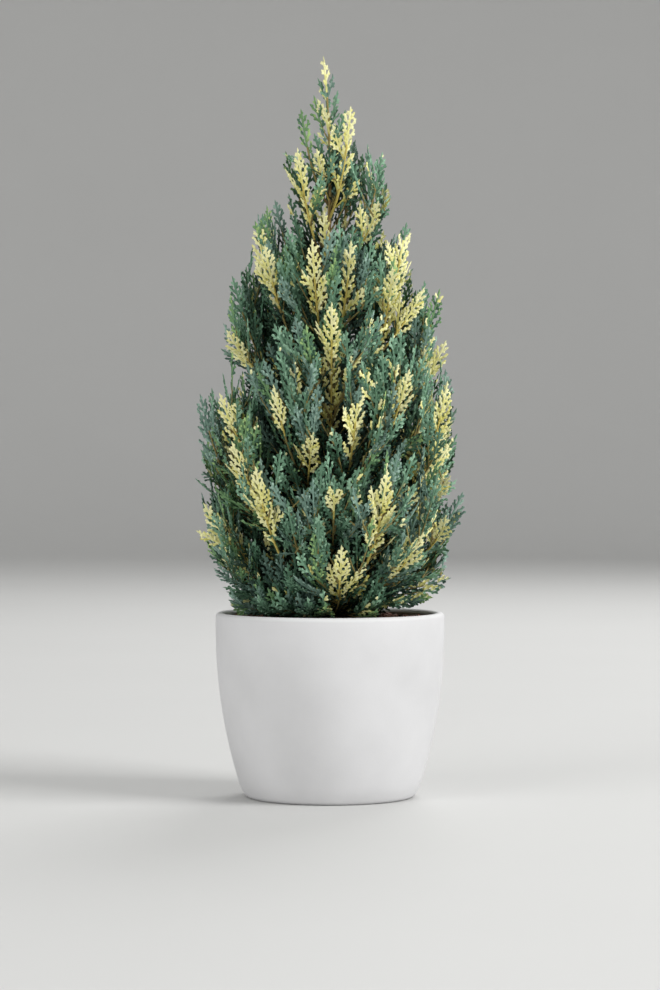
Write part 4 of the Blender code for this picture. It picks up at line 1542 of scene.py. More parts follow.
    def side_fronds(self, lead: Shoot, rng: Rng) -> None:
        """Grows smaller fronds at both sides of a shoot's inner part, each drawn in until it fits.

        Args:
            lead: The shoot.
            rng: Random numbers.
        """
        line = spaced(lead.line, 61)
        total = lengths_along(line)[-1]
        along, spread, facing = frames_of(line, lead.roll)
        back = self.frond_start
        number = 0
        while back < total - 0.004:
            at = int(round(60 * (1.0 - back / total)))
            turn = math.radians(180.0 * (number % 2) + rng.uniform(-self.frond_turn, self.frond_turn))
            aside = spread[at] * math.cos(turn) + facing[at] * math.sin(turn)
            splay = math.radians(rng.uniform(*self.frond_splay))
            heading = along[at] * math.cos(splay) + aside * math.sin(splay)
            ending = unit(heading + UP * self.frond_rise + along[at] * self.frond_ahead)
            length = float(np.clip(self.frond_growth * back, *self.frond_length))
            length *= rng.uniform(*self.frond_uneven)
            for shrink in self.shrinks:
                end = line[at] + (heading + ending) * (0.5 * length * shrink)
                frond = bend(line[at], line[at] + heading * (0.45 * length * shrink), end, 13)
                is_cream = lead.cream[0] < back < lead.cream[1] and rng.random() < self.cream_side_share
                if not is_cream and self.hides_shown(frond[[8, 12]]):
                    continue
                if self.plan.allows(frond[[7, 12]], lead.owner, lead.slack, self.proud).all():
                    run = self.cream_frond if is_cream else NONE
                    roll = lead.roll + rng.uniform(-self.frond_roll, self.frond_roll)
                    self.small_frond(Frond(frond, roll, lead.owner, cream=run), rng)
                    break
            back += self.frond_spacing * rng.uniform(*self.uneven)
            number += 1

    def fill(self, zone: FillZone, rng: Rng) -> None:
        """Fills one layer of the crown with fronds.

        Args:
            zone: The layer.
            rng: Random numbers.
        """
        for _ in range(zone.tries):
            height = rng.uniform(*zone.heights)
            radius = float(self.plan.shape.outline_at(height)) - rng.uniform(*zone.depths)
            if radius < 0.002:
                continue
            tip = outward(rng.uniform(0.0, 360.0)) * radius + UP * height
            if any(gap.holds(tip) for gap in GAPS):
                continue
            near = np.linalg.norm(np.array(self.tips) - tip, axis=1).min() < zone.apart
            if near or self.hides_shown(tip[None]):
                continue
            if zone.from_soil:
                self.soil_frond(tip, rng)
            else:
                self.rising_frond(tip, radius, zone, rng)

    def rising_frond(self, tip: Array, radius: float, zone: FillZone, rng: Rng) -> None:
        """Grows a frond that rises from the limb that fits its tip best.

        Args:
            tip: Where its tip is.
            radius: How far the tip lies from the plant's axis.
            zone: The layer that it fills.
            rng: Random numbers.
        """
        space = self.plan.space
        away = tip - space.all_points
        length = np.linalg.norm(away, axis=1)
        run = np.hypot(away[:, 0], away[:, 1])
        outwards = away[:, :2] @ tip[:2] / radius
        fits = (length > zone.lengths[0]) & (length < zone.lengths[1]) & (away[:, 2] > -zone.droop)
        lean = np.degrees(np.arctan2(run, away[:, 2]))
        most = float(np.interp(tip[2], *self.lean))
        fits &= (lean < most) & (outwards > zone.outward_share * run - 0.001)
        if not fits.any():
            return
        wanted = most * rng.uniform(*self.lean_share)
        unlike = np.abs(lean - wanted) + rng.uniform(0.0, self.lean_spread, len(lean))
        start = space.all_points[np.argmin(np.where(fits, unlike, np.inf))]
        belly = (tip - start) * (1.0, 1.0, 0.0) * self.frond_belly
        sag = UP * (self.frond_sag * abs(tip[2] - start[2]))
        frond = bend(start, start + (tip - start) * 0.5 + belly - sag, tip, 13)
        if not self.plan.over_pot(frond[3:]).all() or self.hides_shown(frond[[7, 10]]):
            return
        roll = rng.uniform(-self.frond_roll, self.frond_roll)
        if zone.droop > self.low_droop:
            roll = self.low_roll * roll - self.front_share * facing_front(tip)
        self.small_frond(Frond(frond, roll, space.nearest_plume(frond[8]), slack=self.fill_slack), rng)

    def soil_frond(self, tip: Array, rng: Rng) -> None:
        """Grows a low frond that leaves the trunk's foot, runs close over the soil and then rises.

        Args:
            tip: Where its tip is.
            rng: Random numbers.
        """
        if tip[0] > self.bare_soil_from:
            return
        soil = self.plan.soil_height
        start = self.plan.shape.trunk_point(soil + rng.uniform(*self.soil_foot))
        middle = tip * (rng.uniform(*self.soil_run), rng.uniform(*self.soil_run), 0.0) + UP * (soil - 0.002)
        line = bend(start, middle, tip)
        line[:, 2] = np.maximum(line[:, 2], soil + self.soil_clear)
        owner = self.plan.space.nearest_plume(line[18])
        roll = self.front_share * facing_front(tip) + rng.uniform(-self.small_roll, self.small_roll)
        self.small_frond(Frond(line, roll, owner, bare=0.42, slack=self.soil_slack, least=0.30), rng)

    def small_frond(self, frond: Frond, rng: Rng) -> None:
        """Dresses one of the smaller fronds, darker with painted shade where it lies deep inside the crown.

        Args:
            frond: The frond, with its reach and depth still to be set.
            rng: Random numbers.
        """
        depth = self.plan.depth(frond.line[-1:])[0]
        frond.deep = float(np.clip((depth - self.deep_from) / self.deep_over, 0.0, 1.0))
        frond.reach = self.frond_reach * rng.uniform(*self.uneven)
        self.dress(frond, rng)

    def dress(self, shoot: Shoot, rng: Rng) -> None:
        """Sets a shoot's axis and its flat frond of sprays, which alternate down it.

        Args:
            shoot: The shoot.
            rng: Random numbers.
        """
        axis = shoot.axis()
        family = int(rng.choice(len(GREEN_FAMILIES), p=FAMILY_SHARES))
        places = [self.tip_gap]
        while places[-1] < axis.total * (1.0 - shoot.bare):
            step = float(np.interp(places[-1], *self.spacing)) * rng.uniform(*self.uneven)
            places.append(places[-1] + step)
        back = np.array(places[:-1])
        count = len(back)
        share = 1.0 - back / axis.total
        ahead = unit(sampled(axis.along, share))
        lift = np.radians(rng.uniform(-self.lift, self.lift, count))
        aside = turned_about(unit(sampled(axis.spread, share)), ahead, lift)
        side = aside * np.where(np.arange(count) % 2, 1.0, -1.0)[:, None]
        leave, arrive = (self.headings(back, curve, ahead, side, rng) for curve in (self.opened, self.closed))
        reach = np.minimum(shoot.reach, self.first_spray + self.spray_growth * back)
        reach = reach * rng.uniform(*self.spray_lengths, count)
        reach *= np.interp(share, (shoot.bare, shoot.bare + self.foot_run), self.foot_sprays)
        base = sampled(axis.line, share)
        wanted = reach.sum()
        for _ in range(4):
            tips = base + (leave + arrive) * (0.5 * reach[:, None])
            fits = self.plan.allows(tips, shoot.owner, shoot.slack, self.proud)
            reach = np.where(fits, reach, reach * self.draw_in)
        tips = base + (leave + arrive) * (0.5 * reach[:, None])
        slack, proud = shoot.slack + self.kept_slack, self.proud + self.kept_proud
        keep = self.plan.allows(tips, shoot.owner, slack, proud)
        if reach[keep].sum() < shoot.least * wanted:
            return
        self.fronds += 1
        self.tips.append(axis.line[-1])
        self.wood(shoot, axis)
        self.leafy_axis(shoot, axis, family, rng)
        cream = self.cream_sprays(shoot, back, rng)
        # The levels carry painted shade: they fall with depth inside the crown.
        level = self.spray_tone.levels(back, cream, self.plan.depth(tips), shoot.deep, rng)
        normal, families = np.cross(ahead, aside), np.full(count, family)
        sprays = Sprays(base, leave, arrive, normal, reach, level, cream, families)
        short = reach < self.sprig_below
        self.set_sprigs(sprays.picked(keep & short), shoot.owner, rng)
        self.set_sprays(sprays.picked(keep & ~short), shoot, rng)

    def headings(self, back: Array, curve: Curve, ahead: Array, side: Array, rng: Rng) -> Array:
        """Headings between a shoot's own and its sides."""
        turn = np.radians(np.interp(back, *curve) + rng.normal(0.0, self.turn_spread, len(back)))[:, None]
        return ahead * np.cos(turn) + side * np.sin(turn)

    def cream_sprays(self, shoot: Shoot, back: Array, rng: Rng) -> Array:
        """Which sprays are cream: those of the shoot's cream run, and strays.

        Args:
            shoot: The shoot.
            back: How far each spray lies from its tip.
            rng: Random numbers.

        Returns:
            True for each cream spray.
        """
        blurred = back + rng.normal(0.0, self.cream_blur, len(back))
        cream = (blurred > shoot.cream[0]) & (blurred < shoot.cream[1])
        mixed = self.mixed_share + self.more_mixed * float(shoot.line[-1, 0] > self.more_mixed_from)
        strays = rng.random(len(back))
        return cream | (strays < (self.mixed_cream if rng.random() < mixed else self.stray_cream))

    def wood(self, shoot: Shoot, axis: Axis) -> None:
        """Adds the woody part of a shoot's axis: brown low down, and paler or golden above.

        Args:
            shoot: The shoot.
            axis: Its points and directions.
        """
        leafy_from = 1.0 - (shoot.leafy - self.wood_lap) / axis.total
        if leafy_from <= self.wood_least:
            return
        rings = max(3, min(20, int(leafy_from * axis.total / self.wood_step)))
        marks = np.linspace(0.0, leafy_from, rings)
        back = (1.0 - marks) * axis.total
        ways = tuple(unit(sampled(way, marks))[None] for way in (axis.spread, axis.facing))
        sides = 5 if shoot.wood[0] > 0.0007 else 3
        radius = np.linspace(*shoot.wood, rings)[None]
        tip = sampled(axis.line, np.array([leafy_from + self.wood_tip]))
        points = tube_points(sampled(axis.line, marks)[None], ways, radius, sides, tip)
        faces = tube_faces(rings, sides)
        stems = (Tint.TAN_STEM, Tint.BROWN_STEM, Tint.GOLD_STEM)
        tan, brown, gold = (STEM_TINTS.index(tint) for tint in stems)
        tint = np.where(back < self.tan_run, tan, brown)
        tint[(back > shoot.cream[0] - self.gold_lap[0]) & (back < shoot.cream[1] + self.gold_lap[1])] = gold
        ring = np.minimum(faces.min(axis=1) // sides, rings - 1)
        self.heaps[self.region_of[shoot.owner], Kind.TWIGS].add(points, faces, tint[ring][None])

    def leafy_axis(self, shoot: Shoot, axis: Axis, family: int, rng: Rng) -> None:
        """Adds the leafy part of a shoot's axis, as short lengths of strip in the sprays' tints.

        Args:
            shoot: The shoot.
            axis: Its points and directions.
            family: The number of its green family.
            rng: Random numbers.
        """
        reach = min(shoot.leafy, axis.total)
        count = max(4, int(reach / self.axis_step))
        marks = 1.0 - reach / axis.total * (1.0 - np.linspace(0.0, 1.0, count + 1))
        back = (1.0 - marks) * axis.total
        heading = unit(sampled(axis.along, marks))
        face = unit(sampled(axis.facing, marks))
        centre = sampled(axis.line, marks) + face * self.axis_proud
        half = np.interp(back, *self.axis_swell) * self.strip_half
        tip = centre[-1] + heading[-1] * self.axis_tip
        ways = (np.cross(face, heading)[None], face[None])
        ridge = np.full((1, count + 1), self.strip_ridge)
        corners = strip_points(centre[None], ways, half[None], ridge, tip[None])[0]
        middle = 0.5 * (back[1:] + back[:-1])
        cream = (middle > shoot.cream[0]) & (middle < shoot.cream[1])
        # The levels carry painted shade: they fall with depth inside the crown.
        level = self.axis_tone.levels(middle, cream, self.plan.depth(centre[1:]), shoot.deep, rng)
        level -= cream * np.clip(middle / self.gold_axis_run, 0.0, 1.0)
        starts = 3 * np.arange(count)[:, None] + np.arange(6)
        families = np.full(count, family)
        self.share_out(corners[starts], strip_faces(2)[:4], level, cream, families, shoot.owner)
        self.share_out(corners[None, -4:], strip_faces(1), level[-1:], cream[-1:], families[-1:], shoot.owner)

    def set_sprays(self, sprays: Sprays, shoot: Shoot, rng: Rng) -> None:
        """Sets flat sprays: each is a leafy strip that curves up, with sprigs that alternate on it.

        Args:
            sprays: The sprays.
            shoot: The shoot that they belong to.
            rng: Random numbers.
        """
        count = len(sprays.base)
        if not count:
            return
        long = sprays.length >= self.long_from
        self.set_strips(sprays.picked(~long), 3, shoot.owner)
        self.set_strips(sprays.picked(long), 5, shoot.owner)
        step = self.sprig_step * (1.0 + self.deep_step * shoot.deep)
        most = int(sprays.length.max() / step) + 1
        shift = rng.uniform(-self.sprig_shift, self.sprig_shift, (count, most))
        offsets = self.sprig_start + step * np.arange(most)[None] + shift
        spray, place = np.nonzero(offsets < sprays.length[:, None] - self.sprig_shift)
        along = offsets[spray, place]
        carriers = sprays.picked(spray)
        mark = along / carriers.length
        origin, heading = carriers.at(mark)
        across = np.cross(carriers.normal, heading) * np.where(place % 2, 1.0, -1.0)[:, None]
        splay = np.radians(rng.normal(self.sprig_splay, self.splay_spread, len(spray)))[:, None]
        tilt = np.radians(rng.normal(0.0, self.tilt_spread, len(spray)))[:, None]
        sprout = unit(heading * np.cos(splay) + across * np.sin(splay) + carriers.normal * np.sin(tilt))
        length = self.sprig_first + self.sprig_growth * (carriers.length - along)
        length = np.clip(length, *self.sprig_lengths) * rng.uniform(*self.sprig_uneven, len(spray))
        level = carriers.level + 0.9 * mark - 0.2 + rng.normal(0.0, self.level_spread, len(spray))
        sprigs = Sprays(
            origin, sprout, sprout, carriers.normal, length, level, carriers.cream, carriers.family
        )
        self.set_sprigs(sprigs, shoot.owner, rng)

    def set_strips(self, sprays: Sprays, rings: int, owner: str) -> None:
        """Sets the strips of sprays, a little darker than the sprigs on them, as painted shade under the
        sprigs.

        Args:
            sprays: The sprays.
            rings: How many rows of corners each has.
            owner: The plume that they belong to.
        """
        marks = np.linspace(0.0, 1.0, rings)
        stations = zip(*(sprays.at(np.full(len(sprays.base), mark)) for mark in marks))
        lines, heading = (np.stack(part, axis=1) for part in stations)
        facing = np.broadcast_to(sprays.normal[:, None], heading.shape)
        swell = np.broadcast_to(np.interp(marks, *self.strip_swell), lines.shape[:2])
        ways = (np.cross(facing, heading), facing)
        tips = lines[:, -1] + heading[:, -1] * self.strip_tip
        points = strip_points(lines, ways, swell * self.strip_half, swell * self.strip_ridge, tips)
        # The fall of 0.5 is painted shade between and under the sprigs.
        level = sprays.level - 0.5 - 0.2 * sprays.cream
        self.share_out(points, strip_faces(rings), level, sprays.cream, sprays.family, owner)

    def set_sprigs(self, sprigs: Sprays, owner: str, rng: Rng) -> None:
        """Sets sprigs: blunt little strips with knobs at their sides, in the shape for their length.

        Args:
            sprigs: The sprigs.
            owner: The plume that they belong to.
            rng: Random numbers.
        """
        count = len(sprigs.base)
        heading = unit(sprigs.leave + sprigs.arrive)
        normal = unit(sprigs.normal - heading * np.sum(sprigs.normal * heading, axis=1, keepdims=True))
        normal = turned_about(normal, heading, np.radians(rng.normal(0.0, self.twist_spread, count)))
        across = np.cross(normal, heading)
        size = np.digitize(sprigs.length, SPRIG_LIMITS)
        variant = rng.integers(0, 2, count)
        girth = rng.uniform(*self.girths, count)
        for number, shapes in enumerate(self.sprigs):
            for which, (points, faces) in enumerate(shapes):
                some = (size == number) & (variant % len(shapes) == which)
                if not some.any():
                    continue
                these = sprigs.picked(some)
                stretch = these.length / SPRIGS[number][which].length
                scale = np.stack((stretch, girth[some] * stretch**0.5, girth[some]), axis=-1)
                turn = np.stack((heading[some], across[some], normal[some]), axis=1)
                grown = points[None] * scale[:, None]
                placed = these.base[:, None] + np.einsum("knc,kcd->knd", grown, turn)
                self.share_out(placed, faces, these.level, these.cream, these.family, owner)

    def share_out(
        self, points: Array, faces: Array, level: Array, cream: Array, family: Array, owner: str
    ) -> None:
        """Deals shapes out to the region's green and cream heaps, each with its tint.

        Args:
            points: Corners of each shape, as shapes x corners x 3.
            faces: Triangles over one shape's corners.
            level: How light each is.
            cream: Which are cream.
            family: The number of each one's green family.
            owner: The plume that they belong to.
        """
        step = np.clip(np.round(level), 0, 4).astype(int)
        green = self.greens[family, step]
        gold = self.golds[np.clip(step + 1, 0, 4)]
        region = self.region_of[owner]
        self.heaps[region, Kind.GREEN].add(points[~cream], faces, green[~cream])
        self.heaps[region, Kind.CREAM].add(points[cream], faces, gold[cream])

    def build(self) -> None:
        """Makes each heap a piece that stands for its region's solids."""
        kinds = {Kind.GREEN: GREEN_TINTS, Kind.CREAM: CREAM_TINTS, Kind.TWIGS: STEM_TINTS}
        finishes = {kind: [LeafFinish(tint).make() for tint in tints] for kind, tints in kinds.items()}
        for (region, kind), heap in self.heaps.items():
            if heap.count:
                piece = heap.piece(f"{kind.name.lower()}_{region}", finishes[kind])
                put_in_place(piece, kind.value, *REGIONS[region])


# Trunk and boughs


@dataclass
class Limbs:
    """The trunk and the boughs, with the relief of thin fibrous bark.

    Ridges and flakes are a height, and how fine they are round a limb and along it.
    """

    plan: CrownPlan
    trunk_sides: int = 22
    bough_sides: int = 12
    ring_step: float = 0.0020
    ridges: Triple = (0.00030, 2.2, 55.0)
    flakes: Triple = (0.00018, 5.0, 420.0)
    smooth_below: float = 0.003
    lobes: int = 5
    lobe_depth: float = 0.24
    bough_radii: Pair = (0.0024, 0.0012)

    def limb(self, line: Array, radii: Array, sides: int, flare: Array, seed: float) -> tuple[Array, Array]:
        """Corners and faces of one limb, its surface broken by long ridges and small flakes.

        Args:
            line: The limb's points.
            radii: Its radius at each point.
            sides: How many corners a ring has.
            flare: How strongly the root lobes show at each point, from 0 to 1.
            seed: A number that sets its bark apart from the other limbs'.

        Returns:
            The corners, and triangles over them.
        """
        along, spread, facing = frames_of(line, 0.0)
        rings = []
        for place, radius, root, across, deep in zip(line, radii, flare, spread, facing):
            for side in range(sides):
                turn = FULL_TURN * side / sides
                x, y = math.cos(turn), math.sin(turn)
                swell = 1.0 + self.lobe_depth * root * math.cos(self.lobes * turn + seed)
                rough = sum(
                    high * noise.noise(Vector((x * round_it + seed, y * round_it, place[2] * up_it)))
                    for high, round_it, up_it in (self.ridges, self.flakes)
                )
                out = radius * swell + rough * min(1.0, radius / self.smooth_below)
                rings.append(place + (across * x + deep * y) * out)
        rings.append(line[-1] + along[-1] * radii[-1] * 0.5)
        return np.array(rings), tube_faces(len(line), sides)

    def build(self) -> None:
        """Builds the trunk's piece and the boughs' piece."""
        shape = self.plan.shape
        bark = BARK.make()
        heights = np.arange(shape.soil_top - 0.003, shape.trunk_top + 0.004, self.ring_step)
        line = np.array([shape.trunk_point(z) for z in heights])
        radii = np.array([shape.trunk_radius(max(z, shape.soil_top)) for z in heights])
        flare = np.exp(-np.maximum(0.0, heights - shape.soil_top) / shape.flare_height)
        points, faces = self.limb(line, radii, self.trunk_sides, flare, 0.0)
        put_in_place(mesh_piece("trunk_bark", points, faces, None, [bark]), "bark", "trunk")
        heap = Heap()
        with_bough = [plan for plan in self.plan.plans if plan.bough is not None]
        for number, plan in enumerate(with_bough):
            line = spaced(plan.bough, max(8, int(lengths_along(plan.bough)[-1] / self.ring_step)))
            radii = np.linspace(*self.bough_radii, len(line))
            points, faces = self.limb(line, radii, self.bough_sides, np.zeros(len(line)), 3.1 * number + 1.0)
            heap.add(points[None], faces, np.zeros(1, int))
        names = ["bough_" + plan.row.name for plan in with_bough]
        put_in_place(heap.piece("bough_bark", [bark]), "bark", *names)


# Pot and soil


def lathe(profile: list[Pair], steps: int) -> tuple[Array, Array]:
    """A surface of revolution about Z.

    Args:
        profile: Radius and height of each point; the first and last lie on the axis.
        steps: How many times the profile is repeated in a full turn.

    Returns:
        The corners, and triangles over them.
    """
    turns = FULL_TURN * np.arange(steps) / steps
    x, y = np.cos(turns), np.sin(turns)
    rings = [np.stack((r * x, r * y, np.full(steps, z)), axis=-1) for r, z in profile[1:-1]]
    points = np.concatenate([*rings, [(0.0, 0.0, profile[0][1]), (0.0, 0.0, profile[-1][1])]])
    top, bottom = len(points) - 2, len(points) - 1
    last = (len(rings) - 1) * steps
    found = []
    for i in range(steps):
        j = (i + 1) % steps
        found += [(top, i, j), (bottom, last + j, last + i)]
        for ring in range(len(rings) - 1):
            a, b = ring * steps + i, ring * steps + j
            found += [(a, a + steps, b + steps), (a, b + steps, b)]
    return points, np.array(found)


def arc(centre: Pair, radius: float, start: float, end: float, steps: int) -> list[Pair]:
    """Points along an arc of a profile, with angles in degrees from the radius towards +Z."""
    turns = [math.radians(start + (end - start) * i / steps) for i in range(steps + 1)]
    return [(centre[0] + radius * math.cos(a), centre[1] + radius * math.sin(a)) for a in turns]


@dataclass
class Pot:
    """The round pot: one thick wall that curves in to its foot, with a rounded lip."""

    height: float = 0.121
    radius: float = 0.075
    foot_radius: float = 0.0525
    wall: float = 0.0065
    floor: float = 0.009
    floor_inset: float = 0.004
    inner_heights: tuple[float, ...] = (0.014, 0.060, 0.110, 0.1150)
    arc_radius: float = 0.339
    arc_height: float = 0.110
    arc_start: float = 0.007
    foot_edge: float = 0.0045
    lip: float = 0.0028
    steps: int = 192
    rows: int = 24

    def wall_radius(self, height: float) -> float:
        """The outer radius: upright near the rim and curving in towards the foot."""
        drop = max(0.0, self.arc_height - height)
        return self.radius - (self.arc_radius - math.sqrt(self.arc_radius**2 - drop**2))

    def inner_radius(self, height: float) -> float:
        """The radius of the wall's inner side."""
        return self.wall_radius(height) - self.wall

    def build(self) -> None:
        """Builds the pot's piece, white outside, and greyish brown inside up to just under the lip."""
        rim = self.height - self.lip
        profile = [(0.0, self.floor), (self.inner_radius(self.floor) - self.floor_inset, self.floor)]
        profile += [(self.inner_radius(z), z) for z in (*self.inner_heights, rim)]
        profile += arc((self.radius - self.wall + self.lip, rim), self.lip, 180, 90, 8)[1:]
        profile += arc((self.radius - self.lip, rim), self.lip, 90, 0, 8)
        profile += [(self.wall_radius(z), z) for z in np.linspace(rim, self.arc_start, self.rows)[1:]]
        profile += arc((self.foot_radius, self.foot_edge), self.foot_edge, -20, -90, 6)
        points, faces = lathe([*profile, (0.0, 0.0)], self.steps)
        centres = points[faces].mean(axis=1)
        around, high = np.hypot(centres[:, 0], centres[:, 1]), centres[:, 2]
        walls = np.array([self.wall_radius(z) for z in high])
        inside = (around < walls - 0.5 * self.wall) & (high > 0.001) & (high < rim)
        finishes = [PotFinish().make(), BROWN_INNER_WALL.make()]
        put_in_place(mesh_piece("white_pot", points, faces, inside.astype(int), finishes), "pot_white", "pot")


@dataclass
class SoilBed:
    """The soil that fills the pot to just under its rim, and the bark chips on it.

    Crumbs are pairs of a height and how many there are to a metre, with a third number that
    sets each layer apart.
    """

    pot: Pot
    edge_height: float = 0.1160
    top: float = 0.1176
    bottom: float = 0.0093
    mound_radius: float = 0.068
    wall_gap: float = 0.0007
    floor_gap: float = 0.006
    lower_heights: tuple[float, ...] = (0.100, 0.060, 0.015)
    upper_from: float = 0.110
    steps: int = 150
    rings: int = 46
    crumbs: float = 0.0010
    crumb_layers: tuple[Triple, ...] = ((1.0, 160.0, 0.0), (0.6, 420.0, 5.0))
    chips: int = 520
    chip_corners: int = 6
    chip_length: Pair = (0.0030, 0.0085)
    chip_width: Pair = (0.30, 0.62)
    chip_thickness: Pair = (0.0007, 0.0016)
    chip_top: float = 0.1195
    chip_inset: float = 0.0035
    chip_seed: int = 11

    def surface_height(self, x: float, y: float) -> float:
        """The soil's height at a place, with its mound and crumbs.

        Args:
            x: The place to the right.
            y: The place to the back.

        Returns:
            The height.
        """
        share = min(1.0, math.hypot(x, y) / self.mound_radius)
        base = self.top + (self.edge_height - self.top) * share**1.5
        rough = sum(
            high * noise.noise(Vector((x * fine, y * fine, z))) for high, fine, z in self.crumb_layers
        )
        return base + self.crumbs * rough

    def build(self) -> None:
        """Builds the soil's piece and the chips' piece."""
        edge = self.pot.inner_radius(self.edge_height) - self.wall_gap
        profile = [(edge * i / self.rings, self.top) for i in range(self.rings + 1)]
        profile += [(self.pot.inner_radius(z) - self.wall_gap, z) for z in self.lower_heights]
        profile += [(self.pot.inner_radius(self.pot.floor) - self.floor_gap, self.bottom), (0.0, self.bottom)]
        points, faces = lathe(profile, self.steps)
        upper = points[:, 2] > self.upper_from
        points[upper, 2] = [self.surface_height(x, y) for x, y, _ in points[upper]]
        put_in_place(mesh_piece("soil_surface", points, faces, None, [PEAT.make()]), "peat", "soil")
        put_in_place(self.build_chips(edge), "peat", "soil")

    def chip_faces(self) -> Array:
        """Triangles of one chip: its underside, its top and its sides.

        Returns:
            The triangles over its lower and then its upper corners.
        """
        ring = self.chip_corners
        faces = [(0, s + 1, s) for s in range(1, ring - 1)]
        faces += [(ring, ring + s, ring + s + 1) for s in range(1, ring - 1)]
        for s in range(ring):
            after = (s + 1) % ring
            faces += [(s, after, ring + after), (s, ring + after, ring + s)]
        return np.array(faces)

    def chip_points(self, rng: Rng) -> Array:
        """Corners of one chip, flat and broken, tilted as it fell and not yet in its place.

        Args:
            rng: Random numbers.

        Returns:
            The corners.
        """
        ring = self.chip_corners
        length = rng.uniform(*self.chip_length)
        width = length * rng.uniform(*self.chip_width)
        thick = rng.uniform(*self.chip_thickness)
        turns = np.sort((np.arange(ring) + rng.uniform(-0.3, 0.3, ring)) / ring) * FULL_TURN
        flat = np.stack((length * np.cos(turns), width * np.sin(turns), np.zeros(ring)), axis=-1)
        upper = flat * (0.5 * rng.uniform(0.72, 0.98)) + UP * thick
        points = np.concatenate((flat * 0.5, upper)) + rng.normal(0.0, 0.00012, (2 * ring, 3))
        heading = rng.uniform(0.0, FULL_TURN)
        return points @ rotation(heading, *rng.normal(0.0, 0.22, 2)).T

    def build_chips(self, edge: float) -> Piece:
        """Strews the chips over the soil.

        Args:
            edge: The soil's radius.

        Returns:
            The chips as one piece.
        """
        rng = np.random.default_rng(self.chip_seed)
        heap = Heap()
        faces = self.chip_faces()
        for _ in range(self.chips):
            placed = self.chip_points(rng)
            around = (edge - self.chip_inset) * math.sqrt(rng.uniform(0.02, 1.0))
            azimuth = rng.uniform(0.0, FULL_TURN)
            x, y = around * math.cos(azimuth), around * math.sin(azimuth)
            reach = np.hypot(placed[:, 0] + x, placed[:, 1] + y).max()
            if reach > edge:
                x, y = (v * (edge - (reach - around)) / around for v in (x, y))
            placed += (x, y, self.surface_height(x, y) - 0.0002)
            placed[:, 2] = np.minimum(placed[:, 2], self.chip_top)
            heap.add(placed[None], faces, np.array([rng.choice(len(CHIPS), p=CHIP_SHARES)]))
        return heap.piece("bark_chips", [finish.make() for finish in CHIPS], smooth=False)


def rotation(heading: float, pitch: float, roll: float) -> Array:
    """A rotation that tilts a piece and then turns it about Z.

    Args:
        heading: The turn about Z, in radians.
        pitch: The tilt about Y.
        roll: The tilt about X.

    Returns:
        The matrix.
    """
    ch, sh, cp, sp, cr, sr = (f(a) for a in (heading, pitch, roll) for f in (math.cos, math.sin))
    about_z = np.array(((ch, -sh, 0.0), (sh, ch, 0.0), (0.0, 0.0, 1.0)))
    about_y = np.array(((cp, 0.0, sp), (0.0, 1.0, 0.0), (-sp, 0.0, cp)))
    about_x = np.array(((1.0, 0.0, 0.0), (0.0, cr, -sr), (0.0, sr, cr)))
    return about_z @ about_y @ about_x


# Studio


@dataclass(frozen=True)
class Lamp:
    """One square lamp that faces the middle of the plant."""

    name: str
    place: Triple
    size: float
    power: float
    aim: Triple = (0.0, 0.0, 0.22)

    def build(self) -> None:
        """Hangs the lamp."""
        light = bpy.data.lights.new(self.name, "AREA")
        light.shape = "SQUARE"
        light.size = self.size
        light.energy = self.power
        holder = bpy.data.objects.new(self.name, light)
        bpy.context.scene.collection.objects.link(holder)
        holder.location = self.place
        holder.rotation_mode = "QUATERNION"
        holder.rotation_quaternion = (Vector(self.aim) - Vector(self.place)).to_track_quat("-Z", "Y")


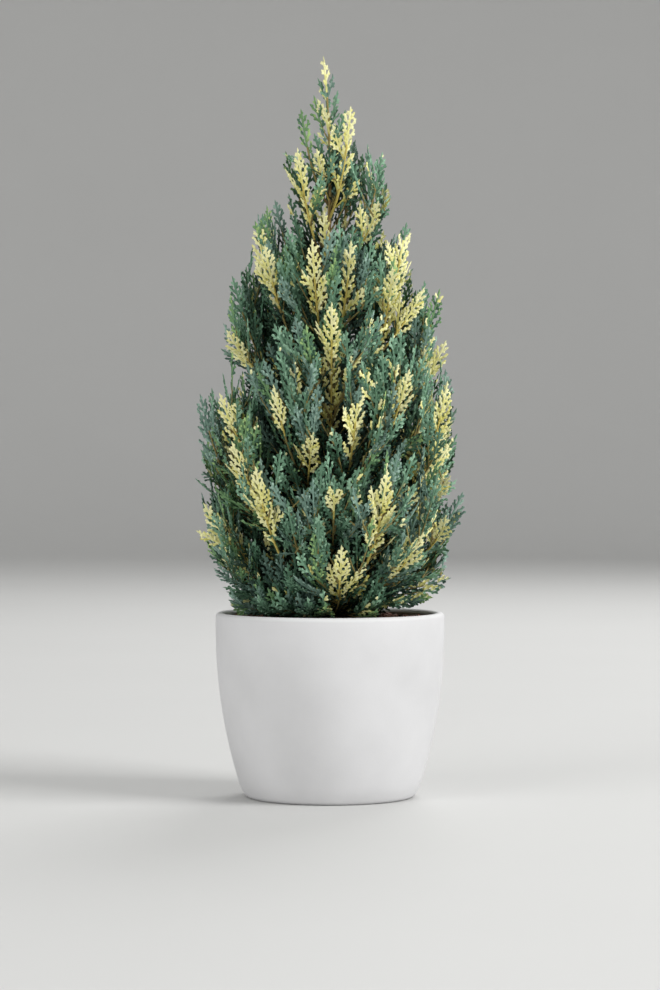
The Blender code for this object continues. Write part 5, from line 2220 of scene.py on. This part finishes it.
@dataclass
class Studio:
    """A pale floor that sweeps up all round, soft lights and the camera."""

    floor_rings: tuple[float, ...] = (0.0, 0.25, 0.5, 1.0, 2.0, 3.2)
    floor_radius: float = 4.4
    sweep: float = 1.6
    wall: float = 5.0
    steps: int = 128
    sky: float = 0.605
    lamps: tuple[Lamp, ...] = (
        Lamp("key", (2.7, -1.3, 2.0), 1.8, 109.0),
        Lamp("fill", (-2.3, -2.2, 1.1), 2.0, 40.0),
        Lamp("behind", (0.8, 2.4, 2.2), 1.6, 40.0),
    )
    camera_distance: float = 2.0
    camera_height: float = 0.229
    camera_pitch: float = 0.89
    lens: float = 110.8
    sensor: float = 36.0
    sight: float = 100.0

    def build(self) -> None:
        """Sets up everything round the plant."""
        self.build_floor()
        self.build_sky()
        for lamp in self.lamps:
            lamp.build()
        self.build_camera()

    def build_floor(self) -> None:
        """Builds the floor and its sweep, as one bowl that is open above."""
        profile = [(radius, 0.0) for radius in self.floor_rings]
        profile += arc((self.floor_radius, self.sweep), self.sweep, -90, 0, 20)
        profile += [(self.floor_radius + self.sweep, self.wall), (0.0, self.wall)]
        points, faces = lathe(profile, self.steps)
        faces = faces[(points[faces][:, :, 2] < self.wall - 1e-6).any(axis=1)]
        mesh_piece("studio_floor", points, faces[:, ::-1], None, [PALE_FLOOR.make()])

    def build_sky(self) -> None:
        """Lights the plant evenly from all round."""
        world = bpy.data.worlds.new("soft_sky")
        bpy.context.scene.world = world
        world.use_nodes = True
        back = world.node_tree.nodes["Background"]
        back.inputs["Color"].default_value = (1.0, 1.0, 1.0, 1.0)
        back.inputs["Strength"].default_value = self.sky

    def build_camera(self) -> None:
        """Sets the camera straight in front and almost level, as the photograph was taken."""
        lens = bpy.data.cameras.new("camera")
        lens.lens = self.lens
        lens.sensor_width = self.sensor
        lens.clip_end = self.sight
        camera = bpy.data.objects.new("camera", lens)
        bpy.context.scene.collection.objects.link(camera)
        camera.location = (0.0, -self.camera_distance, self.camera_height)
        camera.rotation_euler = (math.radians(90.0 - self.camera_pitch), 0.0, 0.0)
        bpy.context.scene.camera = camera


def main() -> None:
    """Builds the potted plant and the studio round it."""
    logging.basicConfig(level=logging.INFO, format="%(name)s: %(message)s")
    bpy.context.scene.view_settings.view_transform = "Standard"
    pot = Pot()
    pot.build()
    SoilBed(pot).build()
    plan = CrownPlan()
    Limbs(plan).build()
    foliage = Foliage(plan)
    foliage.grow()
    foliage.build()
    Studio().build()


if __name__ == "__main__":
    main()
